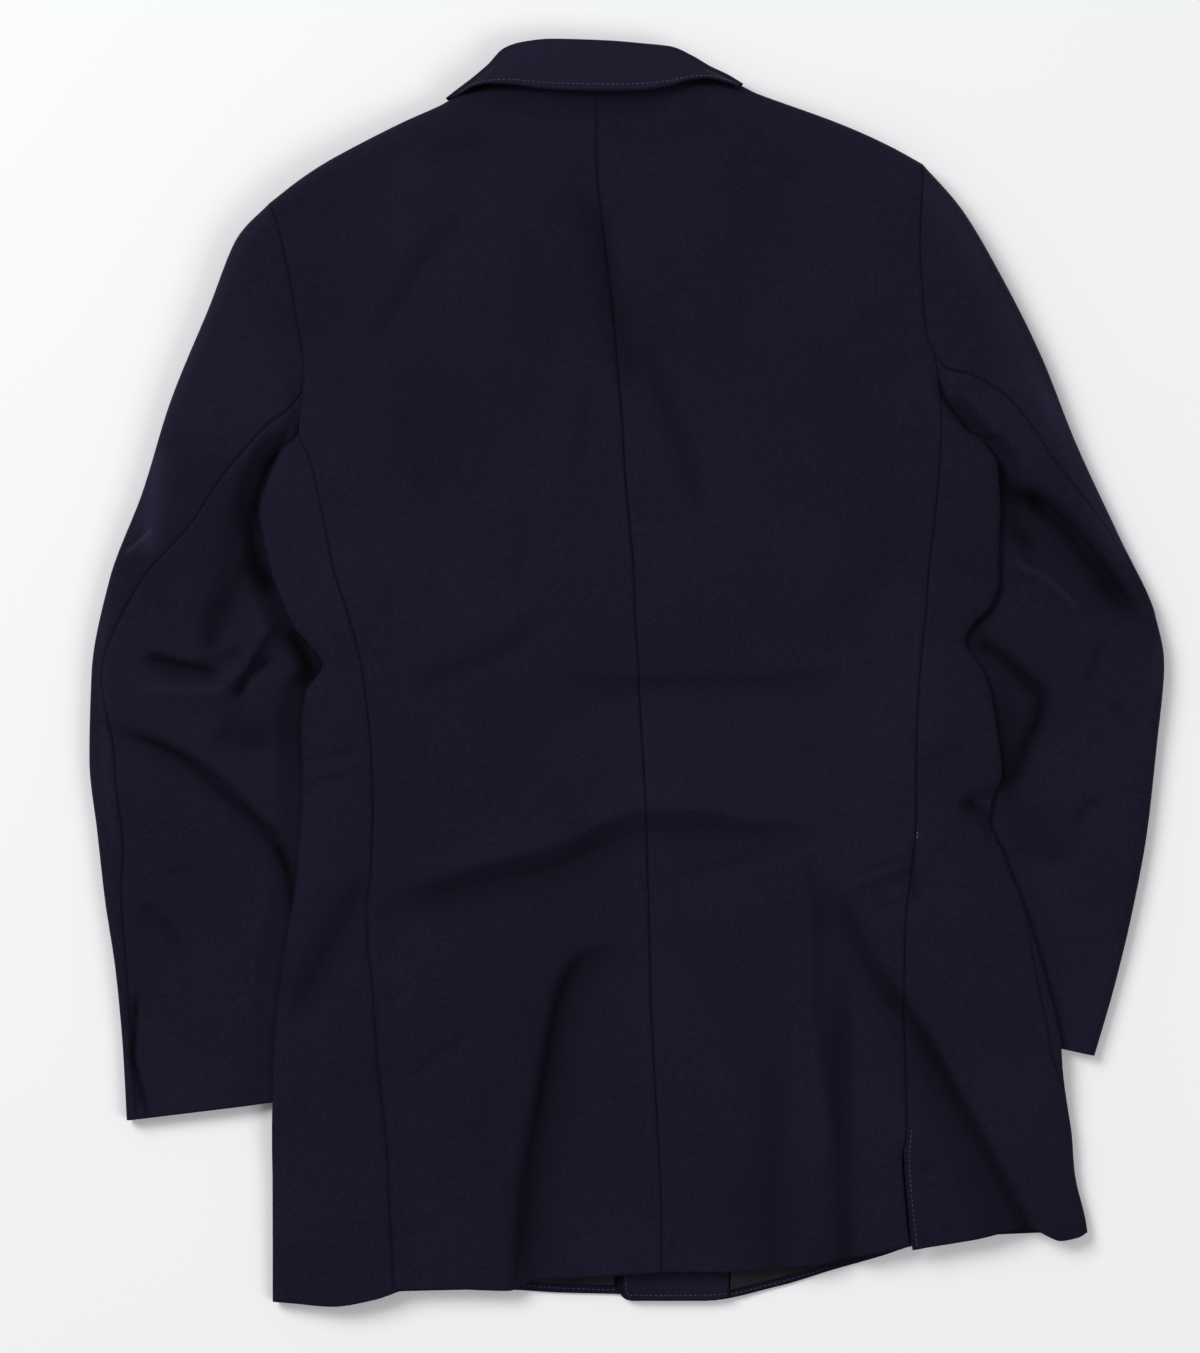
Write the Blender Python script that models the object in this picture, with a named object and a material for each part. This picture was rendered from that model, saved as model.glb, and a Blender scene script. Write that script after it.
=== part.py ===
"""Suit jacket laid face down on a table, back up, at its real size.

X runs to the wearer's right, +Y to the collar, +Z up, and the origin is under the middle of the jacket.
Every panel is one wall of cloth over a surface worked out from the tables below. Tables and sizes are in
millimetres. The body is a flattened tube: the back lies on top, the side bodies roll round the edges and
the fronts lie underneath. The sleeves are flattened tubes too, which run under the body from the elbow.
"""
from bisect import bisect_right
from math import acos, cos, hypot, pi, sin, sqrt

import bmesh
import bpy
from mathutils import Vector

MM = 0.001
CLOTH = 2.0            # thickness of a cloth wall
SEAM = 0.36            # gap between two panels at a seam
ARMHOLE_SEAM = 0.7     # gap at an armhole, where a flat panel meets a tube
ROLL = 11.0            # reach of the roll at the body's side edge
SHOULDER_ROLL = 12.0   # reach of the roll along the shoulder
PLY = 2.4              # one layer lying on another: a wall and its clearance
SLEEVE_UNDER = 7.4     # height of a sleeve where the body lies on it
LIFT = 8.2             # height of the body's underside over a sleeve
LIFT_RAMP = 26.0       # distance over which the underside comes down beside a sleeve
LIFT_MARGIN = 13.0     # how far past the sleeve's edge it stays lifted

# Silhouette of the body on each side, from the underarm to the hem: (y, left_x, right_x).
EDGE = [
    (260, -270, 262), (225, -246, 232), (183, -228, 206), (170, -223, 211), (157, -219, 220), (150, -223, 230),
    (136, -229, 240), (124, -234, 241), (105, -239, 242), (76, -234, 241), (59, -229, 241),
    (44, -223, 236), (29, -216, 222), (20, -208, 219), (5, -198, 229), (-13, -209, 236),
    (-38, -212, 240), (-66, -211, 243), (-77, -211, 239), (-86, -211, 222), (-97, -212, 231),
    (-110, -213, 240), (-133, -215, 250), (-148, -217, 256), (-175, -222, 265), (-207, -226, 274),
    (-237, -229, 281), (-262, -230, 283), (-300, -231, 289), (-325, -231, 291), (-361, -231, 299),
    (-412, -231, 304),
]
# Seams that run down the back: (y, left_side_seam_x, centre_seam_x, right_side_seam_x).
SEAMS = [
    (388, -219, -20, 203), (327, -219, -20, 203), (297, -219, -17, 203), (231, -219, -9, 203),
    (181, -219, -5, 203), (157, -214, -3, 203), (135, -205, -2, 202), (100, -197, 1, 199),
    (66, -190, 4, 195), (35, -180, 5, 193), (7, -173, 7, 190), (-20, -169, 8, 188),
    (-53, -166, 10, 187), (-90, -165, 12, 187), (-127, -166, 13, 184), (-162, -166, 14, 180),
    (-207, -162, 15, 179), (-250, -159, 17, 180), (-307, -153, 20, 181), (-351, -151, 22, 184),
    (-412, -148, 22, 192),
]
# Seam between side body and front, as a run round the edge from the silhouette: (y, left_run, right_run).
FRONT_SEAM = [
    (170, -15, -15), (60, -28, -26), (-60, -30, -24), (-120, -30, -9), (-142, -30, 2), (-203, -30, 13),
    (-240, -30, 14), (-262, -30, 9), (-282, -30, -2), (-330, -28, -14), (-412, -26, -16),
]
# Height of the back above the table: (y, middle, at_the_side_seams).
HEIGHT = [
    (376, 20, 24), (340, 21, 26), (280, 20, 22), (200, 19, 19), (100, 18, 18), (0, 17, 18),
    (-110, 17, 18), (-250, 16, 18), (-340, 14, 16), (-410, 12, 14),
]
# Largest folds of the top cloth: (x0, y0, x1, y1, x2, y2, half_width, height), ends fading out.
FOLDS = [
    (-30, 318, -12, 268, 8, 178, 9, -4.5),      # long trough right of the centre seam
    (8, 222, 28, 165, 52, 95, 8, -3.0),         # its lower branch
    (-106, 300, -132, 262, -166, 206, 11, -2.2),
    (-60, 35, -100, 5, -132, -22, 10, -2.5),    # slack over the left waist
    (-42, -5, 60, -8, 140, -3, 9, -3.2),        # level crease over the waist
    (-160, -124, -60, -114, 22, -88, 11, 4.0),  # ridge of the big waist fold, left part
    (10, -86, 75, -88, 160, -118, 10, 3.4),     # right part
    (-160, -140, -60, -132, 40, -112, 13, -4.0),
    (40, -112, 90, -116, 150, -128, 11, -3.0),
    (-20, -186, -50, -240, -66, -385, 13, -7.5),  # trough from the waist to the hem
    (8, -180, -20, -181, -44, -215, 12, -4.0),
    (112, -130, 118, -215, 132, -320, 9, 4.0),  # standing fold over the right hip
    (138, -215, 141, -300, 142, -376, 10, -5.0),
    (94, -290, 95, -330, 96, -372, 12, -3.0),
    (140, -146, 160, -196, 180, -234, 8, -3.0),
    (180, -208, 222, -285, 260, -358, 11, -5.0),  # slanting trough over the right side body
    (-170, -130, -196, -185, -220, -238, 10, -4.0),
    (-205, -60, -185, -56, -160, -50, 8, -2.5),
    (-300, 10, -275, -2, -242, -4, 8, -5.0),    # left elbow
    (-318, -6, -280, -9, -236, 35, 9, 3.5),
    (-330, -38, -268, -72, -222, -140, 11, -4.5),
    (256, 116, 305, 80, 342, 24, 12, -6.5),     # right elbow
    (240, 72, 268, 60, 300, 34, 12, 4.0),
    (226, 24, 268, -14, 262, -66, 10, -4.5),
]
# Sleeves from the armhole to the cuff:
# (outer_x, outer_y, inner_x, inner_y, height, hind_seam as a share of the way across the top).
LEFT_SLEEVE = [
    (-233, 305, -221, 155, 22, 0.86), (-253, 284, -227.5, 143, 24, 0.80), (-273, 235, -234, 120, 22, 0.66),
    (-297, 176, -232, 90, 20, 0.52), (-315, 118, -221, 58, 18, 0.36), (-337, 60, -203, 22, 16, 0.16),
    (-348.5, 0, -188, -20, 15, 0.07), (-350, -55, -181, -66, 14, 0.12), (-345, -103, -180, -108, 13, 0.12),
    (-340, -148, -181, -148, 12, 0.09), (-333, -195, -183, -190, 11, 0.07),
    (-328.5, -245, -185, -234, 10, 0.06), (-326, -291, -187, -274, 10, 0.07),
]
RIGHT_SLEEVE = [
    (192.5, 330, 207, 181, 22, 0.84), (217, 302, 216.5, 163, 24, 0.74), (245, 254, 229.5, 151, 22, 0.60),
    (269, 205, 238, 136, 20, 0.47), (291, 150, 236, 108, 18, 0.30), (319, 90, 232, 72, 16, 0.10),
    (343, 38, 220, 36, 15, 0.03), (349, 4, 204, -2, 14, 0.0), (344, -50, 188, -44, 13, 0.0),
    (338, -104, 179, -91, 12, 0.0), (328, -158, 173, -137, 11, 0.0), (317, -204, 170, -181, 10, 0.0),
    (304, -249, 169, -221, 10, 0.0),
]
# Shoulder and neck edge of the back, and the armholes, from the shoulder point down.
LEFT_TOP = [
    (-232, 305), (-211, 321), (-190, 334.3), (-148, 356.3), (-121, 368.6), (-104, 375.6), (-90, 381),
    (-66, 385.5), (-20, 387),
]
RIGHT_TOP = [
    (191, 330), (171, 341), (150, 351), (128, 360), (84, 376), (66, 380.8), (46, 384.5), (24, 386.5), (-20, 387),
]
LEFT_ARMHOLE = [(-232, 305), (-225, 284), (-219, 257), (-214, 227), (-210, 200), (-211, 178), (-214, 157)]
RIGHT_ARMHOLE = [(191, 330), (190, 302), (189, 276), (191, 248), (193, 223), (199, 204), (203, 181)]
LEFT_HEM = [(-149, -400), (-110, -400), (-75, -401), (-58, -394), (-6, -391), (22, -389)]
RIGHT_HEM = [(188, -372), (167, -376), (147, -380), (128, -384), (100, -387), (67, -389), (22, -389)]
LEFT_SIDE_HEM = [(0.0, -400), (0.18, -407), (0.4, -411), (0.7, -409), (1.0, -411)]      # (share round, y)
RIGHT_SIDE_HEM = [(0.0, -374), (0.3, -367), (0.62, -361), (0.75, -366), (0.85, -369), (1.0, -364)]
# Front hems and front edges, seen from above: the left front closes below, the right front above.
LEFT_FRONT_HEM = [(-205, -411), (-165, -406), (-136, -403), (-75, -402), (-36, -404), (6, -405), (36, -406)]
RIGHT_FRONT_HEM = [(292, -364), (227, -367), (189, -373), (167, -380), (135, -389), (98, -400), (50, -409), (3, -409)]
FRONT_EDGE = {"left": 36.0, "right": -6.0}     # x of the front edges, which overlap below the buttons
BREAK_Y = -40.0                                # where the lapels start to roll, just above the top button
BREAK_X = 12.0
NECK = {"left": (-108.0, 370.0), "right": (68.0, 378.0)}   # where the neck meets the shoulder
LAPEL_WIDTH = 82.0
GORGE_Y = 262.0                                # seam between lapel and collar end
COLLAR_END_Y = 342.0
COLLAR_END_WIDTH = 40.0
HEM_STRIP = 52.0                               # how far facing and lining reach up from the hem
BUTTONS = {"button_upper": (14.0, -62.0), "button_lower": (17.0, -170.0)}
BUTTON_RADIUS, BUTTON_HEIGHT = 10.5, 2.1
RAISED_FROM_Y = -262.0                         # above here the fronts lie on the buttons and lapels

# Collar sections from the left end round the back neck to the right end, on its outer surface:
# (fold_x, fold_y, leaf_x, leaf_y, leaf_z, stand_x, stand_y, stand_z).
COLLAR = [
    (-118, 373, -113, 372, 16, -112, 373.5, 7), (-110, 379, -106, 377, 21, -104, 376.5, 8),
    (-103, 384, -99, 380, 24, -97, 379.5, 9), (-91, 394, -90, 381, 26, -86, 384, 9),
    (-80, 405, -74, 380, 27, -72, 387, 9), (-68, 409, -60, 378, 27, -60, 387.5, 9),
    (-48, 411, -44, 376.5, 27, -44, 387.9, 9), (-15, 410, -14, 376, 27, -14, 388, 9),
    (10, 408, 8, 376.5, 27, 8, 387.8, 9), (28, 406, 26, 379, 27, 24, 387.4, 9),
    (42, 400, 40, 383, 27, 38, 386.2, 9), (54, 393, 52, 384.5, 26.5, 49, 387.5, 9),
    (65, 388, 63, 382.5, 26, 60, 385.5, 8), (75, 382, 72, 379.5, 24, 71, 382.5, 8),
]
COLLAR_ROLL = 3.3      # outer radius of the collar's fold
COLLAR_ACROSS = [0, 0.13, 0.25, 0.325, 0.40, 0.475, 0.55, 0.64, 0.76, 0.88, 1.0]
STRIP_CLOTH = 1.4      # thickness of facing and lining
STRIP_GAP = 0.75       # their clearance over the front

NAVY = (0.0110, 0.0092, 0.0196)
LINING = (0.020, 0.021, 0.023)
HORN = (0.008, 0.008, 0.010)


def clamp(t, low=0.0, high=1.0):
    return max(low, min(high, t))


def smooth(t):
    t = clamp(t)
    return t * t * (3 - 2 * t)


def lerp(a, b, t):
    return a + (b - a) * t


class Curve:
    """A smooth curve through (t, value, value...) rows, without overshoot between them."""

    def __init__(self, rows):
        rows = sorted(rows)
        self.t = [row[0] for row in rows]
        self.values = [row[1:] for row in rows]
        self.slopes = [self._slope(i) for i in range(len(rows))]

    def _slope(self, i):
        last = len(self.t) - 1
        if i in (0, last):
            a, b = (0, 1) if i == 0 else (last - 1, last)
            return [(q - p) / (self.t[b] - self.t[a]) for p, q in zip(self.values[a], self.values[b])]
        before, after = self.t[i] - self.t[i - 1], self.t[i + 1] - self.t[i]
        slopes = []
        for p, q, r in zip(self.values[i - 1], self.values[i], self.values[i + 1]):
            a, b = (q - p) / before, (r - q) / after
            slopes.append(0.0 if a * b <= 0 else (before + after) / (after / a + before / b))
        return slopes

    def __call__(self, t):
        t = clamp(t, self.t[0], self.t[-1])
        i = min(max(bisect_right(self.t, t) - 1, 0), len(self.t) - 2)
        span = self.t[i + 1] - self.t[i]
        u = (t - self.t[i]) / span
        h = ((1 + 2 * u) * (1 - u) ** 2, u * (1 - u) ** 2 * span, u * u * (3 - 2 * u), u * u * (u - 1) * span)
        return [h[0] * p + h[1] * m + h[2] * q + h[3] * n for p, m, q, n in
                zip(self.values[i], self.slopes[i], self.values[i + 1], self.slopes[i + 1])]


class Path:
    """A smooth curve in the plan through points, read by the share of its length."""

    def __init__(self, points):
        reach = [0.0]
        for (x0, y0), (x1, y1) in zip(points, points[1:]):
            reach.append(reach[-1] + hypot(x1 - x0, y1 - y0))
        self.curve = Curve([(r / reach[-1], x, y) for r, (x, y) in zip(reach, points)])

    def __call__(self, t):
        return Vector(self.curve(t))


edge_of, seams_of, run_of, height_of = Curve(EDGE), Curve(SEAMS), Curve(FRONT_SEAM), Curve(HEIGHT)
SIDES = {"left": -1, "right": 1}
UNDERARM = {"left": (-214.0, 157.0), "right": (203.0, 181.0)}
SLEEVES = {"left": LEFT_SLEEVE, "right": RIGHT_SLEEVE}
ARMHOLES = {"left": Path(LEFT_ARMHOLE), "right": Path(RIGHT_ARMHOLE)}
TOPS = {"left": Path(LEFT_TOP), "right": Path(RIGHT_TOP)}
HEMS = {"left": Path(LEFT_HEM), "right": Path(RIGHT_HEM)}
shoulder_line = Curve(sorted(LEFT_TOP[:-1] + RIGHT_TOP))
sleeve_inner = {side: Curve([(row[3], row[2]) for row in SLEEVES[side]]) for side in SIDES}
sleeve_rows = {
    side: Curve([(i / (len(rows) - 1), *row) for i, row in enumerate(rows)]) for side, rows in SLEEVES.items()
}


def edge_x(side, y):
    return edge_of(y)[0 if side == "left" else 1]


def seam_x(side, y):
    return seams_of(y)[0 if side == "left" else 2]


def centre_x(y):
    return seams_of(y)[1]


def fold_at(fold, x, y):
    """Height that one fold adds at a point: a soft bump across it that fades at both ends."""
    x0, y0, x1, y1, x2, y2, width, height = fold
    nearest, along = 1e9, 0.0
    for i, (ax, ay, bx, by) in enumerate(((x0, y0, x1, y1), (x1, y1, x2, y2))):
        dx, dy = bx - ax, by - ay
        t = clamp(((x - ax) * dx + (y - ay) * dy) / (dx * dx + dy * dy))
        distance = hypot(x - ax - t * dx, y - ay - t * dy)
        if distance < nearest:
            nearest, along = distance, (i + t) / 2
    across = clamp(nearest / (2 * width))
    return height * (1 - smooth(across)) * smooth(along * 4 + 0.25) * smooth((1 - along) * 4 + 0.25)


def folds(x, y):
    return sum(fold_at(fold, x, y) for fold in FOLDS)


def top_height(x, y):
    """Outer height of the back before it rolls over at the edges."""
    middle, side = height_of(y)
    across = clamp(abs(x - centre_x(y)) / 200.0)
    return lerp(middle, side, across * across) + folds(x, y)


def sleeve_lift(side, x, y):
    """1 where the body lies on the sleeve, 0 where it lies on the table."""
    rows = SLEEVES[side]
    beside = SIDES[side] * (x - sleeve_inner[side](y)[0]) + LIFT_RAMP + LIFT_MARGIN
    below_underarm = smooth((UNDERARM[side][1] - 4.0 - y) / 26.0)
    above_cuff = smooth((y - min(rows[-1][1], rows[-1][3]) + 42.0) / 30.0)
    return below_underarm * above_cuff * smooth(beside / LIFT_RAMP)


def roll_x(side, y):
    """x of the roll line of a lapel, from the break up to the neck."""
    neck_x, neck_y = NECK[side]
    share = clamp((y - BREAK_Y) / (neck_y - BREAK_Y))
    return lerp(BREAK_X, neck_x, share ** 0.9)


def under_height(side, x, y):
    """Height of the fronts' outer surface, which faces the table."""
    on_lapel = smooth((y - RAISED_FROM_Y) / 70.0)
    out_from_roll = SIDES[side] * (x - roll_x(side, y))
    over_lapel = on_lapel * (1 - smooth((out_from_roll - LAPEL_WIDTH - 12.0) / 50.0))
    on_other = 0.0
    if side == "right":
        on_other = (1 - smooth((x - FRONT_EDGE["left"] - 10.0) / 60.0)) * (1 - smooth((y - BREAK_Y - 40.0) / 60.0))
    ply = PLY * max(over_lapel, on_other * (1 + on_lapel))
    return lerp(ply, LIFT, sleeve_lift(side, x, y))


def rounding(d, reach):
    """Share of the full height at a distance from a rolled edge: a quarter circle."""
    t = 1 - clamp(d / reach)
    return sqrt(max(0.0, 1 - t * t))


def body_height(side, x, y, share):
    """Height at a share of the way from the middle of the edge, up to the back or down to the front."""
    top, under = top_height(x, y), under_height(side, x, y)
    shoulder = rounding(shoulder_line(x)[0] - y, SHOULDER_ROLL)
    parting = SEAM / 2 * (1 - shoulder) * (1 if share > 0 else -1)
    return lerp((top + under) / 2 + parting, top if share > 0 else under, abs(share) * shoulder)


def body_point(side, run, y):
    """A point of the body's outer surface: run is the way round from the silhouette, up and in if positive."""
    angle = clamp(run / ROLL, -pi / 2, pi / 2)
    rest = max(0.0, abs(run) - ROLL * pi / 2)
    x = edge_x(side, y) - SIDES[side] * (ROLL * (1 - cos(angle)) + rest)
    return Vector((x, y, body_height(side, x, y, sin(angle))))


def run_at(side, x, y):
    """The run on the body that reaches the plan position x."""
    d = SIDES[side] * (edge_x(side, y) - x)
    return ROLL * acos(1 - max(d, 0.0) / ROLL) if d < ROLL else ROLL * pi / 2 + d - ROLL


def coons(bottom, top, start, end, u, v):
    """A patch between four border curves: start and end run up v, bottom and top run along u."""
    ruled = bottom(u).lerp(top(u), v) + start(v).lerp(end(v), u)
    corners = bottom(0).lerp(bottom(1), u).lerp(top(0).lerp(top(1), u), v)
    return ruled - corners


# ------------------------------------------------------------------ building a wall of cloth
def even(count):
    return [i / count for i in range(count + 1)]


def clear_scene():
    for item in list(bpy.data.objects):
        bpy.data.objects.remove(item, do_unlink=True)
    for group in list(bpy.data.collections):
        bpy.data.collections.remove(group)


def material(name, colour, roughness):
    finish = bpy.data.materials.new(name)
    finish.use_nodes = True
    shader = finish.node_tree.nodes["Principled BSDF"]
    shader.inputs["Base Color"].default_value = (*colour, 1.0)
    shader.inputs["Roughness"].default_value = roughness
    shader.inputs["Metallic"].default_value = 0.0
    return finish


def normal_at(surface, u, v, step=0.004):
    """Outward normal of a surface by differences, one-sided at its borders."""
    u0, u1 = max(0.0, u - step), min(1.0, u + step)
    v0, v1 = max(0.0, v - step), min(1.0, v + step)
    return (surface(u1, v) - surface(u0, v)).cross(surface(u, v1) - surface(u, v0)).normalized()


def wall(name, surface, across, along, turn, finish, group, thickness=CLOTH, square=None):
    """A closed wall of cloth: the outer surface, the same points moved in, and a rim between them.

    across and along are the shares at which the surface is read. turn is 1 where its u and v directions
    cross outwards and -1 where they cross inwards. square names the border along an armhole, "u0" on a back
    and "v0" on a sleeve, where the wall is cut square to the table so that it meets its neighbour cleanly.
    """
    mesh = bmesh.new()
    bmesh.ops.create_grid(mesh, x_segments=len(across) - 1, y_segments=len(along) - 1, size=1.0)
    mesh.verts.ensure_lookup_table()
    outer = []
    for row, v in enumerate(along):
        for column, u in enumerate(across):
            vert = mesh.verts[row * len(across) + column]
            point, normal = surface(u, v), normal_at(surface, u, v) * turn
            if (square == "u0" and column == 0 and v > UNDERARM_SHARE + 0.01) or (square == "v0" and row == 0):
                step = (0.0, 0.01) if square == "u0" else (0.01, 0.0)
                ahead = surface(min(1.0, u + step[0]), min(1.0, v + step[1]))
                behind = surface(max(0.0, u - step[0]), max(0.0, v - step[1]))
                out = Vector(((ahead - behind).y, -(ahead - behind).x, 0.0)).normalized()
                normal = (normal - out * normal.dot(out)).normalized()
            vert.co = point * MM
            outer.append((vert, normal))
    faces = list(mesh.faces)
    inner = bmesh.ops.duplicate(mesh, geom=mesh.verts[:] + mesh.edges[:] + faces)
    pairs = {old: new for old, new in inner["vert_map"].items() if isinstance(old, bmesh.types.BMVert)}
    for vert, normal in outer:
        pairs[vert].co = vert.co - normal * thickness * MM
    bmesh.ops.reverse_faces(mesh, faces=[item for item in inner["geom"] if isinstance(item, bmesh.types.BMFace)])
    rim = [edge for edge in mesh.edges if edge.is_boundary]
    bmesh.ops.bridge_loops(mesh, edges=rim)
    bmesh.ops.triangulate(mesh, faces=mesh.faces[:])
    if mesh.calc_volume(signed=True) < 0:
        bmesh.ops.reverse_faces(mesh, faces=mesh.faces[:])
    return finish_object(name, mesh, finish, group)


def finish_object(name, mesh, finish, group):
    data = bpy.data.meshes.new(name)
    mesh.to_mesh(data)
    mesh.free()
    data.materials.append(finish)
    for face in data.polygons:
        face.use_smooth = True
    piece = bpy.data.objects.new(name, data)
    group.objects.link(piece)
    return piece


# ------------------------------------------------------------------ the body
ROWS_BELOW, ROWS_ABOVE = 22, 8                  # rows of the back below and above the underarm
UNDERARM_SHARE = ROWS_BELOW / (ROWS_BELOW + ROWS_ABOVE)
BACK_ALONG = even(ROWS_BELOW + ROWS_ABOVE)[:-1] + [1 - 0.020, 1 - 0.010, 1 - 0.003, 1.0]
BACK_ACROSS = [0, 0.04] + [0.04 + 0.96 * i / 12 for i in range(1, 13)]
SIDE_ALONG = even(ROWS_BELOW)
EDGE_GAP = 1.4         # extra gap where the front seam runs on the body's tight edge
EDGE_SHARE = 0.55      # where the silhouette falls on the way across a side body
SIDE_ACROSS = [0, 0.14, 0.28, 0.42, 0.485, EDGE_SHARE, 0.685, 0.82, 1.0]
FRONT_ACROSS = [0, 0.03, 0.06, 0.1, 0.22, 0.4, 0.6, 0.8, 1.0]
SLEEVE_ALONG = even(21)
UPPER_TURN, UNDER_TURN = 0.6, 0.7      # where the sleeve's outer and inner edges fall across its two pieces
SLEEVE_ACROSS = {
    "upper": [0, 0.14, 0.28, 0.4, 0.48, 0.54, UPPER_TURN, 0.66, 0.72, 0.79, 0.86, 0.93, 1.0],
    "under": [0, 0.05, 0.16, 0.3, 0.44, 0.55, 0.63, UNDER_TURN, 0.77, 0.87, 1.0],
}
SLEEVE_SEAM = 0.7      # gap at the sleeve seams, which run along tight rolls


def back_surface(side):
    """The half back from its side seam (u 0) to the centre seam (u 1), hem to shoulder."""
    sign = SIDES[side]
    arm_x, arm_y = UNDERARM[side]
    hem, top, armhole = HEMS[side], TOPS[side], ARMHOLES[side]

    def side_line(v):
        if v <= UNDERARM_SHARE:
            y = lerp(hem(0).y, arm_y, v / UNDERARM_SHARE)
            return Vector((seam_x(side, y) - sign * SEAM / 2, y))
        return armhole((1 - v) / (1 - UNDERARM_SHARE)) - Vector((sign * ARMHOLE_SEAM / 2, 0))

    def centre_line(v):
        y = lerp(hem(1).y, top(1).y, v)
        return Vector((centre_x(y) + sign * SEAM / 2, y))

    def surface(u, v):
        x, y = coons(hem, top, side_line, centre_line, u, v)
        share = rounding(sign * (edge_x(side, y) - x), ROLL)
        return Vector((x, y, body_height(side, x, y, max(share, 1e-6))))

    return surface


def side_surface(side):
    """The side body from the back's side seam (u 0) round the edge to the front seam (u 1)."""
    hem = Curve({"left": LEFT_SIDE_HEM, "right": RIGHT_SIDE_HEM}[side])
    arm_x, arm_y = UNDERARM[side]

    def surface(u, v):
        y = lerp(hem(u)[0], arm_y, v) - (0.9 + 6.0 * sin(pi * u)) * smooth((v - 0.86) / 0.14)
        start = run_at(side, seam_x(side, y), y) - SEAM / 2 - 0.9 * smooth((v - 0.8) / 0.2)
        end = run_of(y)[0 if side == "left" else 1]
        end += SEAM / 2 + 0.4 * smooth((v - 0.8) / 0.2) + EDGE_GAP * smooth((end + 18.0) / 12.0)
        around_edge = lerp(0.0, lerp(start, end, EDGE_SHARE), smooth((end + 6.0) / 8.0))   # 0 on the silhouette
        if u < EDGE_SHARE:
            return body_point(side, lerp(start, around_edge, u / EDGE_SHARE), y)
        return body_point(side, lerp(around_edge, end, (u - EDGE_SHARE) / (1 - EDGE_SHARE)), y)

    return surface


def front_edge_x(side, y, hem_y):
    """x of the front's free edge: rounded at the hem, straight below the break, then the roll line."""
    corner = 9.0
    rise = clamp(y - hem_y, 0.0, corner)
    cut = corner - sqrt(corner ** 2 - (corner - rise) ** 2)
    below = FRONT_EDGE[side] - SIDES[side] * -cut
    return lerp(below, roll_x(side, y), smooth((y - BREAK_Y + 12.0) / 40.0))


def front_surface(side):
    """The front from its side seam (u 0) to its free edge or roll line (u 1), under the back."""
    sign, index = SIDES[side], 0 if side == "left" else 1
    arm_x, arm_y = UNDERARM[side]
    hem = Path({"left": LEFT_FRONT_HEM, "right": RIGHT_FRONT_HEM}[side])
    armhole, neck_x = ARMHOLES[side], NECK[side][0]
    shoulder_x = armhole(0).x - sign * ARMHOLE_SEAM / 2

    def around(x, y):
        """Plan position to the way round from the silhouette, counted under the body."""
        return Vector((run_at(side, x, y), y))

    def side_line(v):
        if v <= UNDERARM_SHARE:
            y = lerp(hem(0).y, arm_y, v / UNDERARM_SHARE)
            return Vector((-run_of(y)[index] + SEAM / 2, y))
        x, y = armhole((1 - v) / (1 - UNDERARM_SHARE))
        return around(x - sign * ARMHOLE_SEAM / 2, y).lerp(side_line(UNDERARM_SHARE), max(0, 1 - (v - UNDERARM_SHARE) * 16))

    def edge_line(v):
        y = lerp(hem(1).y, NECK[side][1], v)
        return around(front_edge_x(side, y, hem(1).y), y)

    def hem_line(u):
        start = side_line(0) - around(*hem(0))
        return around(*hem(u)) + start * (1 - u)

    def shoulder(u):
        x = lerp(shoulder_x, neck_x, u)
        return around(x, shoulder_line(x)[0])

    def surface(u, v):
        run, y = coons(hem_line, shoulder, side_line, edge_line, u, v)
        return body_point(side, -run, y)

    return surface


def flat_surface(x_of, y_of, z_of):
    """A level patch from its own plan rules: x_of and y_of take (u, v), z_of takes (x, y)."""
    def surface(u, v):
        x, y = x_of(u, v), y_of(u, v)
        return Vector((x, y, z_of(x, y)))

    return surface


def lapel_surface(side):
    """The lapel, turned back against the table from the roll line (u 0) to its edge (u 1)."""
    sign = SIDES[side]

    def y_of(u, v):
        return lerp(BREAK_Y + 6.0, GORGE_Y + 12.0 * u, v)

    def x_of(u, v):
        width = LAPEL_WIDTH * (0.05 + 0.95 * sin(pi / 2 * v) ** 0.9)
        return roll_x(side, y_of(u, v)) + sign * (1.5 + width * u)

    return flat_surface(x_of, y_of, lambda x, y: 0.0)


def collar_end_surface(side):
    """The end of the collar's leaf under the shoulder, from the gorge seam up to the neck."""
    sign = SIDES[side]

    def y_of(u, v):
        return lerp(GORGE_Y + 12.0 * u * 0.55 + SEAM + 0.4, COLLAR_END_Y + 6.0 * (1 - u), v)

    def x_of(u, v):
        return roll_x(side, y_of(u, v)) + sign * (1.5 + COLLAR_END_WIDTH * u)

    return flat_surface(x_of, y_of, lambda x, y: 0.0)


def hem_strip_surface(side, x_from, x_to, above_hem):
    """A strip that lies inside the hem on its front: facing or lining."""
    hem = Curve([(x, y) for x, y in {"left": LEFT_FRONT_HEM, "right": RIGHT_FRONT_HEM}[side]])
    return flat_surface(
        lambda u, v: lerp(x_from, x_to, u),
        lambda u, v: hem(lerp(x_from, x_to, u))[0] + above_hem + HEM_STRIP * v,
        lambda x, y: under_height(side, x, y) + CLOTH + STRIP_GAP + STRIP_CLOTH,
    )


# ------------------------------------------------------------------ the sleeves
def sleeve_height(side, x, y, s, own):
    """Height of the sleeve's top: the body's at the armhole, low where the body lies on it."""
    sign = SIDES[side]
    joined = 1 - smooth(s / 0.16)
    inside = sign * (edge_x(side, y) - x)
    low = smooth((inside + 30.0) / 27.0) * smooth((UNDERARM[side][1] + 4.0 - y) / 26.0)
    crown = own + folds(x, y)
    return lerp(lerp(crown, SLEEVE_UNDER, low), top_height(x, y), joined * (1 - low))


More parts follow.
